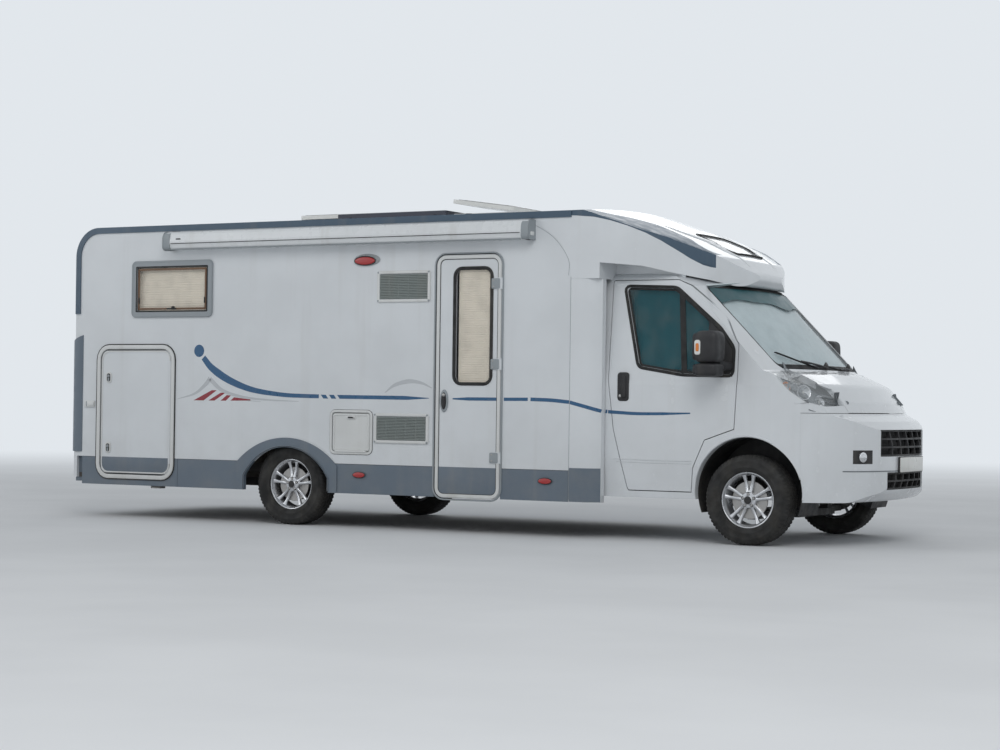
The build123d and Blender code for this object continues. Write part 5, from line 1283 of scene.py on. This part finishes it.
for side in (-1, 1):
    makeCabDoor(side, cabPlan)
    makeMirror(side, cabPlan)
    makeHeadlamp(side, cabPlan)
    makeArchLiner(side, cabPlan)
    makeArchFlare(side, cabPlan)
    makeColumnFoot(side, cabPlan)
makeScreenDress(cabPlan)
makeBumperDress(bumperPlan)
print("cab dress done")


# roof, cap and rear

roofPlan = {
    "knob": (1.216, -0.290, 0.032),
    "knobFoot": 2.560,
    "cableBox": (0.130, 0.560, 2.530),
    "solarCells": (10, 5),
    "solarHalf": 0.340,
    "solarInset": 0.022,
    "frontTilt": math.radians(8.0),
    "lidLift": 0.017,
}


capPlan = {
    # window: x from the front axle, length, width, corner
    "window": (-0.590, 0.320, 0.620, 0.060),
    # ribs: start and end, each x from the front axle and distance from the middle
    "ribs": (((-0.305, 0.266), (-0.760, 0.420)), ((-0.391, 0.334), (-0.900, 0.560))),
    "ribSize": (0.034, 0.012),
    # band: x from the front axle, height of its lower edge, distance of its inner edge from the middle
    "band": ((-1.402, 2.470, 1.100), (-1.300, 2.465, 1.030), (-1.212, 2.456, 0.950), (-1.140, 2.443, 0.850),
             (-1.081, 2.427, 0.760), (-0.946, 2.383, 0.660), (-0.823, 2.331, 0.640), (-0.719, 2.271, 0.640),
             (-0.635, 2.209, 0.655), (-0.556, 2.145, 0.680), (-0.500, 2.108, 0.670), (-0.455, 2.090, 0.650),
             (-0.425, 2.092, 0.640)),
}


def makeSolarCells(plan):
    # a grid of cells with two bright bars each, in the rim of the panel
    low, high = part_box("solar_panel")
    columns, rows = plan["solarCells"]
    half, inset = plan["solarHalf"], plan["solarInset"]
    length = (high.x - low.x - 2 * inset) / columns
    width = (2 * half - 2 * inset) / rows
    cell = roundedLoop(length - 0.006, width - 0.006, 0.014, steps=3)
    shape = Shape()
    for i in range(columns):
        for j in range(rows):
            place = topSpot(low.x + inset + (i + 0.5) * length, -half + inset + (j + 0.5) * width, high.z)
            shape.slab(cell, 0.0016, 0.0006, place, 0, base=-0.002, steps=1)
            for share in (-0.25, 0.25):
                bar = roundedLoop(length - 0.010, 0.0018, 0.0006, (0, share * width), 2)
                shape.slab(bar, 0.0021, 0.0003, place, 1, steps=1)
    rim = roundedLoop(high.x - low.x - 0.020, 2 * half - 0.020, 0.004, steps=3)
    shape.flatBead(rim, beadSection(0.018, 0.0035), topSpot((low.x + high.x) / 2, 0, high.z), 2)
    shape.make("solarCells", ["solarCell", "steelBright", "frameGrey"], "root", 40, "solar")


def makeRoofFittings(plan):
    # the round knob beside the front rooflight and the cable box of the solar panel
    x, y, radius = plan["knob"]
    shape = Shape()
    knob = np.array([(0.001, 0.0), (0.040, 0.0), (0.040, 0.010), (radius, 0.016), (radius, 0.036),
                     (radius - 0.004, 0.042), (0.001, 0.043)])
    shape.turned(knob, topSpot(coach(x), y, plan["knobFoot"]), 0, 36)
    x, y, z = plan["cableBox"]
    shape.slab(roundedLoop(0.120, 0.090, 0.016), 0.040, 0.008, topSpot(coach(x), y, z), 1)
    shape.make("roofFittings", ["blackPlastic", "whitePlastic"], "root", 40, "black_plastic")


def makeRooflights(plan):
    # a raised dome and a bead on each lid, square to the lid, which stands tilted at the front
    lift = plan["lidLift"]
    for body, tilt in (("rooflight_front", plan["frontTilt"]), ("rooflight_rear", 0.0)):
        name = body.replace("rooflight", "rooflight_lid")
        low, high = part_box(name)
        length, width = (high.x - low.x) / math.cos(tilt), high.y - low.y
        spot = Spot(((low.x + high.x) / 2, 0, (low.z + high.z) / 2),
                    (math.cos(tilt), 0, -math.sin(tilt)), (0, 1, 0), (math.sin(tilt), 0, math.cos(tilt)))
        lid = Shape()
        lid.slab(roundedLoop(length * 0.80, width * 0.80, 0.060), lift + 0.0085, 0.012, spot, 0, base=0.004)
        rim = roundedLoop(length * 0.90, width * 0.90, 0.050)
        lid.flatBead(rim, beadSection(0.012, lift + 0.004), spot, 1)
        lid.make(name + "_dome", ["opalWhite", "frameGrey"], body, 40, "rooflight")


def outermost(points, names, way, lift):
    # points laid on whichever of some CAD nodes they meet first along a direction, and lifted off it
    way = Vector(way)
    laid = []
    for point in np.asarray(points, float).reshape(-1, 3):
        hits = [surfaceOf(name).ray_cast(Vector(point) - way * 3.0, way) for name in names]
        near = min((hit for hit in hits if hit[0] is not None), key=lambda hit: hit[3], default=None)
        laid.append(np.array(near[0] if near else point) - np.array(way) * lift)
    return np.array(laid).reshape(np.shape(points))


def makeCapWindowRim(plan):
    # a flat rubber rim that stands on the higher of window and cap
    x, length, width, corner = plan["window"]
    rim = band(evenLoop(roundedLoop(length, width, corner, (cab(x), 0), 8), 140), -0.014, 0.010)
    points = np.stack([rim[..., 0], rim[..., 1], np.zeros(rim.shape[:-1])], -1)
    top = ontoNode(points, "cap_window", (0, 0, -1), 0.0)
    cap = ontoNode(points, "front_cap", (0, 0, -1), 0.0)
    top[..., 2] = np.maximum(cap[..., 2], top[..., 2]) + 0.004
    Shape().shell(top, top - (0, 0, 0.008)).make("capWindowRim", ["rubber"], "root", 40, "black_plastic")


def makeCapBands(plan):
    # a skin from an inner edge on top of the cap over its shoulder to a lower edge on its side
    under = ("front_cap", "roof_trim")
    places, lows, inners = np.array(plan["band"]).T
    x = np.linspace(places[0], places[-1], 70)
    low, inner = np.interp(x, places, lows), np.interp(x, places, inners)
    share = np.linspace(0, 1, 13)[None, :, None]
    for side in (-1, 1):
        slope = (0, -side * 0.7071, -0.7071)
        top = outermost(np.stack([cab(x), side * inner, 0 * x + 2.0], 1), under, (0, 0, -1), 0.0)
        foot = outermost(np.stack([cab(x), 0 * x, low], 1), under, (0, -side, 0), 0.0)
        skin = outermost(top[:, None] * (1 - share) + foot[:, None] * share, under, slope, 0.0012)
        strip = Shape().shell(skin, skin + np.array(slope) * 0.004)
        strip.make("capBand_" + handOf(side), ["trimBlue"], "root", 40, "trim_blue")


def makeCapRibs(plan):
    # half oval ribs that swell from nothing and back, laid on the cap
    count = 30
    share = np.linspace(0, 1, count)[:, None]
    swell = np.sin(np.pi * np.clip(share, 0.02, 0.98)) ** 0.5
    angle = np.linspace(0, math.pi, 9)
    width, height = plan["ribSize"]
    section = np.stack([0 * angle, width * np.cos(angle), height * np.sin(angle) - 0.002], 1)
    shape = Shape()
    for side in (-1, 1):
        for start, end in np.array(plan["ribs"]):
            x, y = (start + (end - start) * share).T
            run = ontoNode(np.stack([cab(x), side * y, 0 * x], 1), "front_cap", (0, 0, -1), 0.0)
            shape.grid(run[:, None] + section * swell[..., None], None, 0, closeColumns=True, caps=True)
    shape.make("capRibs", ["cabWhite"], "root", 40, "cab_white")


rearPlan = {
    # z, width, height
    "window": (1.780, 1.000, 0.440),
    "plate": (0.960, 0.520, 0.110),
    "brakeLamp": 2.090,
    # segments of a tail lamp: z, height, finish
    "lampParts": ((1.0348, 0.118, 0), (0.9244, 0.104, 1), (0.8232, 0.098, 0), (0.7220, 0.104, 2)),
    "lampY": 1.020,
}


def makeRearDress(plan):
    # seal and catches of the window, blank plate with its lamps on a panel, high brake lamp
    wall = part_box("rear_wall")[0].x
    names = ["rubber", "whitePlastic", "plateWhite", "lensClear", "blackPlastic", "lampRed"]
    shape = Shape()
    z, w, h = plan["window"]
    window = rearSpot(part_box("window_frames")[0].x, 0, z)
    shape.flatBead(roundedLoop(w - 0.116, h - 0.116, 0.040), beadSection(0.012, 0.004), window, 0)
    for y in (-0.28, 0.28):
        catch = roundedLoop(0.100, 0.020, 0.008, (y, -h / 2 + 0.075))
        shape.slab(catch, 0.006, 0.003, window, 0, base=-0.014)
    z, w, h = plan["plate"]
    panel = rearSpot(wall - 0.0005, 0, z)
    shape.slab(roundedLoop(0.640, 0.230, 0.030, (0, 0.010)), 0.010, 0.006, panel, 1, base=-0.02)
    shape.slab(roundedLoop(w + 0.014, h + 0.014, 0.012), 0.014, 0.002, panel, 0, base=0.004)
    shape.slab(roundedLoop(w, h, 0.010), 0.0165, 0.001, panel, 2, base=0.004)
    for y in (-0.16, 0.16):
        shape.slab(roundedLoop(0.080, 0.030, 0.010, (y, 0.098)), 0.026, 0.010, panel, 0, base=0.004)
        shape.slab(roundedLoop(0.058, 0.014, 0.005, (y, 0.090)), 0.0275, 0.002, panel, 3, base=0.010)
    brake = rearSpot(wall, 0, plan["brakeLamp"])
    shape.slab(roundedLoop(0.320, 0.034, 0.014), 0.012, 0.005, brake, 4, base=-0.010)
    shape.slab(roundedLoop(0.300, 0.020, 0.008), 0.016, 0.004, brake, 5, base=0.004)
    shape.make("rearDress", names, "root", 40, "white_plastic")


def makeTailLamps(plan):
    # on each lamp a stack of segments, each a rounded plate with a turned bowl in its middle
    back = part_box("tail_lamps")[0].x
    bowl = np.array([(0.001, 0.004), (0.030, 0.004), (0.030, 0.0078), (0.026, 0.0085), (0.014, 0.0078),
                     (0.001, 0.0088)])
    shape = Shape()
    for side in (-1, 1):
        for z, height, finish in plan["lampParts"]:
            place = rearSpot(back, side * plan["lampY"], z)
            shape.slab(roundedLoop(0.082, height - 0.012, 0.020), 0.0065, 0.005, place, finish, base=-0.006)
            shape.turned(bowl, place, finish, 32)
    shape.make("tailLampParts", ["lampRed", "lampOrange", "opalWhite"], "root", 40, "tail_lens")


underPlan = {
    # leg: x from the rear axle, distance from the middle, height, then its further points forwards and down
    "leg": (-1.980, 0.800, 0.318),
    "legRun": ((0.0, 0.0), (0.16, -0.020), (0.36, -0.046)),
    # rear arch: half width of its opening, foot, where the arc starts, its crest
    "arch": (0.425, 0.292, 0.400, 0.650),
}


def makeSteadyLegs(plan):
    # one leg on each side, folded up behind the rear axle, with its foot and bracket
    shape = Shape()
    for side in (-1, 1):
        x, y, z = coach(plan["leg"][0]), side * plan["leg"][1], plan["leg"][2]
        path = smoothPath([(x + along, y, z + up) for along, up in plan["legRun"]], 10)
        shape.bar(path, (0, 1, 0), (0.1, 0, 1), boxSection(0.022, 0.014))
        shape.slab(roundedLoop(0.110, 0.090, 0.020), 0.020, 0.005, topSpot(x + 0.375, y, z - 0.074), 1)
        shape.slab(roundedLoop(0.120, 0.080, 0.010), 0.048, 0.004, topSpot(x + 0.02, y, z - 0.030), 0)
    shape.make("steadyLegs", ["steelDark", "steelBright"], "root", 40, "steel_dark")


def makeArchLips(plan):
    # a rounded lip where the rear arch opens: two straight sides and the arc through their tops and the crest
    half, foot, spring, crest = plan["arch"]
    rise = crest - spring
    radius = (half ** 2 + rise ** 2) / (2 * rise)
    sweep = math.asin(half / radius)
    angle = np.linspace(-sweep, sweep, 60)
    arc = np.stack([radius * np.sin(angle), crest - radius + radius * np.cos(angle)], 1)
    path = np.concatenate([[(-half, foot)], arc, [(half, foot)]])[::-1] + (rearAxle.x, 0)
    shape = Shape()
    for side in (-1, 1):
        spot = sideSpot(side, 0, 0, coachPlan["skirtProud"])
        shape.flatBead(path, beadSection(0.016, 0.0060), spot, 0, closed=False)
        shape.flatBead(path, beadSection(0.006, 0.0075), spot, 1, closed=False)
    shape.make("archLips", ["skirtGrey", "rubber"], "root", 40, "skirt_grey")


makeSolarCells(roofPlan)
makeRoofFittings(roofPlan)
makeRooflights(roofPlan)
makeCapWindowRim(capPlan)
makeCapBands(capPlan)
makeCapRibs(capPlan)
makeRearDress(rearPlan)
makeTailLamps(rearPlan)
makeSteadyLegs(underPlan)
makeArchLips(underPlan)
print("roof and rear done")


# soft goods behind the glass: insulating mats and seats

matPlan = {
    "diamond": 0.110,
    "puff": 0.0022,
    # behind the windscreen: half width, lower and upper edge, gap to the glass, depth of the folds
    "screen": (0.795, 1.325, 1.935, 0.020, 0.004),
    # behind a side window: lower and upper edge, gap to the glass, depth of the waves
    "side": (1.30, 1.93, 0.040, 0.010),
}


def quilt(points, normal, u, v, plan):
    # raised by the root of a product of two sine waves along the diagonals: a net of stitched lines stays low
    size = plan["diamond"]
    wave = np.abs(np.sin(np.pi * (u + v) / size) * np.sin(np.pi * (u - v) / size))
    return points + normal * (plan["puff"] * np.sqrt(wave))[..., None]


def makeScreenMat(plan):
    # a silvered sheet that hangs just behind the windscreen, a grid in y and z cast onto the glass
    half, low, high, gap, depth = plan["screen"]
    gridY, gridZ = np.meshgrid(np.linspace(-half, half, 200), np.linspace(low, high, 90), indexing="ij")
    glass = ontoNode(noseGrid(gridY, gridZ), "windscreen", (-1, 0, 0), 0.0)
    normal = normalsOf(glass, (1, 0, 0))
    step = np.linalg.norm(np.gradient(glass, axis=1), axis=2).mean(0)
    down = np.cumsum(step)[None] + 0 * gridY
    fold = depth * np.sin(gridY * 7.0 + gridZ * 5.0) * np.sin(gridZ * 9.0)
    hung = quilt(glass - normal * (gap + fold[..., None]), normal, gridY, down, plan)
    piece = Shape().grid(hung, None, 0).make("screenMat", ["matFoil"], "root", 60, "mat_foil")
    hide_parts("screen_mat")


def makeSideMat(side, plan):
    # a softer curtain behind each side window, in waves that deepen towards its foot; its dark teal is
    # painted shade and sky reflection
    hand = handOf(side)
    low, high, gap, depth = plan["side"]
    z = np.linspace(low, high, 60)[:, None]
    share = np.linspace(0, 1, 120)[None]
    rear = np.interp(z, [low, high], [-0.895, -1.005])
    front = np.interp(z, [low, 1.48, 1.62, 1.90], [-0.160, -0.160, -0.290, -0.640])
    x = rear * (1 - share) + front * share + frontAxle.x
    z = np.broadcast_to(z, x.shape)
    glass = ontoNode(np.stack([x, 0 * x, z], -1), "cab_glass_" + hand, (0, -side, 0), 0.0)
    wave = depth * np.sin((x - frontAxle.x) * 26.0 + 2.0 * z) * np.interp(z, [low, high], [1.0, 0.35])
    glass[..., 1] -= side * (gap + wave)
    door = "cab_door_" + hand
    piece = Shape().grid(glass, None, 0).make("sideMat_" + hand, ["sideMatPaintedShade"], door, 60, "mat_foil")


seatPlan = {
    "y": 0.480,
    "cushionRise": 0.05,
    "backLean": math.radians(13),
    # pads: x from the front axle and z of the middle, half sizes, roundness, stitched lines as axis and place
    "seatCushion": ((-0.640, 0.800), (0.235, 0.245, 0.075), 0.42, ((1, -0.62), (1, 0.62), (0, 0.45))),
    "seatBack": ((-0.910, 1.100), (0.066, 0.232, 0.245), 0.42,
                 ((1, -0.60), (1, 0.60), (2, 0.35), (2, -0.35))),
    # the head rest also has a count of points and a depth of its stitched line
    "headRest": ((-0.985, 1.425), (0.045, 0.125, 0.070), 0.5, ((1, 0.0),), 30, 0.005),
    "fullness": 0.85,
}


def padBlock(spot, half, power, seams, count=44, puff=0.010):
    # a full rounded block; stitched lines across it pull the skin in, each by a bell curve of the distance to
    # it, and a product of two crossed sine waves gives it a fine ripple
    unit = ballGrid(power, count)
    crease = sum(np.exp(-((unit[..., axis] - place) / 0.035) ** 2) for axis, place in seams)
    x, y, z = np.moveaxis(unit, -1, 0)
    ripple = 0.0015 * np.sin(x * 17 + y * 9) * np.sin(z * 13 + y * 7)
    scale = 1 - np.clip(crease, 0, 1) * puff / min(half) + ripple / min(half)
    return Shape().grid(unit * half * scale[..., None], spot, 0, closeColumns=True, caps=True)


def makeSeat(side, plan):
    # cushion, back and head rest, each its own padded piece, on a boxed base; two pins hold the rest
    x, y = frontAxle.x, side * plan["y"]
    rise, lean = plan["cushionRise"], plan["backLean"]
    flat = ((1, 0, rise), (-rise, 0, 1))
    upright = ((math.cos(lean), 0, math.sin(lean)), (-math.sin(lean), 0, math.cos(lean)))
    pads = []
    for name, (along, up) in (("seatCushion", flat), ("seatBack", upright), ("headRest", upright)):
        (ahead, z), half, *form = plan[name]
        shape = padBlock(Spot((x + ahead, y, z), along, (0, 1, 0), up), half, *form)
        pads.append(shape.make(name + "_" + handOf(side), ["clothGrey"], "root", 60, "seat_cloth"))
    base = Shape()
    base.slab(roundedLoop(0.400, 0.440, 0.040), 0.345, 0.012, topSpot(x - 0.690, y, 0.3815), 0)
    for pin in (-0.05, 0.05):
        tubeAlong(base, [(x - 0.962, y + pin, 1.300), (x - 0.985, y + pin, 1.400)], 0.006, 1, 10)
    base.make("seatBase_" + handOf(side), ["blackPlastic", "steelBright"], "root", 40, "black_plastic")
    return pads


makeScreenMat(matPlan)
for side in (-1, 1):
    makeSideMat(side, matPlan)
seatPieces = makeSeat(-1, seatPlan) + makeSeat(1, seatPlan)
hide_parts("cab_seats")
print("soft goods done")


# light, floor and camera

view = {
    "place": (8.857, -15.54, 1.03),
    "yaw": 29.5,
    "pitch": 0.75,
    "roll": 0.74,
    "lens": 76.5,
}


def makeCamera(v):
    # looks along the yaw, turned up by the pitch and rolled about its own line of sight
    camera = bpy.data.objects.new("camera", bpy.data.cameras.new("camera"))
    camera.data.lens = v["lens"]
    camera.data.clip_end = 400
    pose = Matrix.Translation(v["place"])
    for angle, axis in ((v["yaw"], "Z"), (90 + v["pitch"], "X"), (v["roll"], "Z")):
        pose = pose @ Matrix.Rotation(math.radians(angle), 4, axis)
    camera.matrix_world = pose
    bpy.context.scene.collection.objects.link(camera)
    bpy.context.scene.camera = camera


lamps = {
    # place, diameter, power
    "key": ((9.0, -13.0, 11.0), 9.0, 720),
    "fill": ((-12.0, -9.0, 7.0), 9.0, 260),
    "back": ((-4.0, 14.0, 10.0), 10.0, 240),
}


def makeLamp(name, place, size, power):
    # a round lamp that points at the middle of the van
    lamp = bpy.data.objects.new(name, bpy.data.lights.new(name, "AREA"))
    lamp.data.shape = "DISK"
    lamp.data.size = size
    lamp.data.energy = power
    lamp.location = place
    lamp.rotation_euler = (Vector((0, 0, 1)) - Vector(place)).to_track_quat("-Z", "Y").to_euler()
    bpy.context.scene.collection.objects.link(lamp)


paleBack = (0.76, 0.80, 0.84)


def makeWorld(colour, light):
    # one colour all round: its strength is 1 for camera, glass and mirror rays, and less where it only lights
    world = bpy.data.worlds.new("world")
    bpy.context.scene.world = world
    world.use_nodes = True
    tree = world.node_tree
    path = tree.nodes.new("ShaderNodeLightPath")
    level = None
    for ray in ("Is Camera Ray", "Is Transmission Ray", "Is Glossy Ray"):
        seen = tree.nodes.new("ShaderNodeMath")
        seen.operation = "MAXIMUM"
        seen.inputs[1].default_value = light
        tree.links.new(path.outputs[ray], seen.inputs[0])
        if level:
            tree.links.new(level, seen.inputs[1])
        level = seen.outputs[0]
    background = tree.nodes["Background"]
    tree.links.new(level, background.inputs["Strength"])
    background.inputs["Color"].default_value = (*colour, 1)


def makeFloor():
    # a wide disc, grey by the object and fading to the colour of the background further out
    radius = np.array([0.0, 12.0, 40.0, 180.0])
    angle = np.linspace(0, 2 * math.pi, 64, endpoint=False)
    points = np.stack([radius[:, None] * np.cos(angle), radius[:, None] * np.sin(angle),
                       np.zeros((len(radius), len(angle)))], -1).reshape(-1, 3)
    mesh = bpy.data.meshes.new("floor")
    mesh.from_pydata(points.tolist(), [], gridFaces(len(radius), len(angle), False, True).tolist())
    floor = bpy.data.objects.new("floor", mesh)
    bpy.context.scene.collection.objects.link(floor)
    f = Finish("floorPale", Roughness=0.9)
    place, x, y, _ = f.axes()
    far = (x * x + y * y) ** 0.5
    tone = f.blend(f.noise(place, 0.6, 4.0).ramp(0.3, 0.7), (0.72, 0.73, 0.74), (0.77, 0.78, 0.79))
    f.done(**{"Base Color": tone})
    glow = f.add("ShaderNodeEmission", None, {"Color": paleBack})
    surface = Wire(f, f.shader.outputs[0])
    mix = f.add("ShaderNodeMixShader", None, {0: far.ramp(7.0, 26.0), 1: surface, 2: glow})
    f.tree.links.new(mix.socket, f.output.inputs["Surface"])
    mesh.materials.append(f.material)


bpy.context.scene.view_settings.view_transform = "Standard"
makeCamera(view)
for name, (place, size, power) in lamps.items():
    makeLamp(name, place, size, power)
makeWorld(paleBack, 0.5)
makeFloor()
print("stage done")
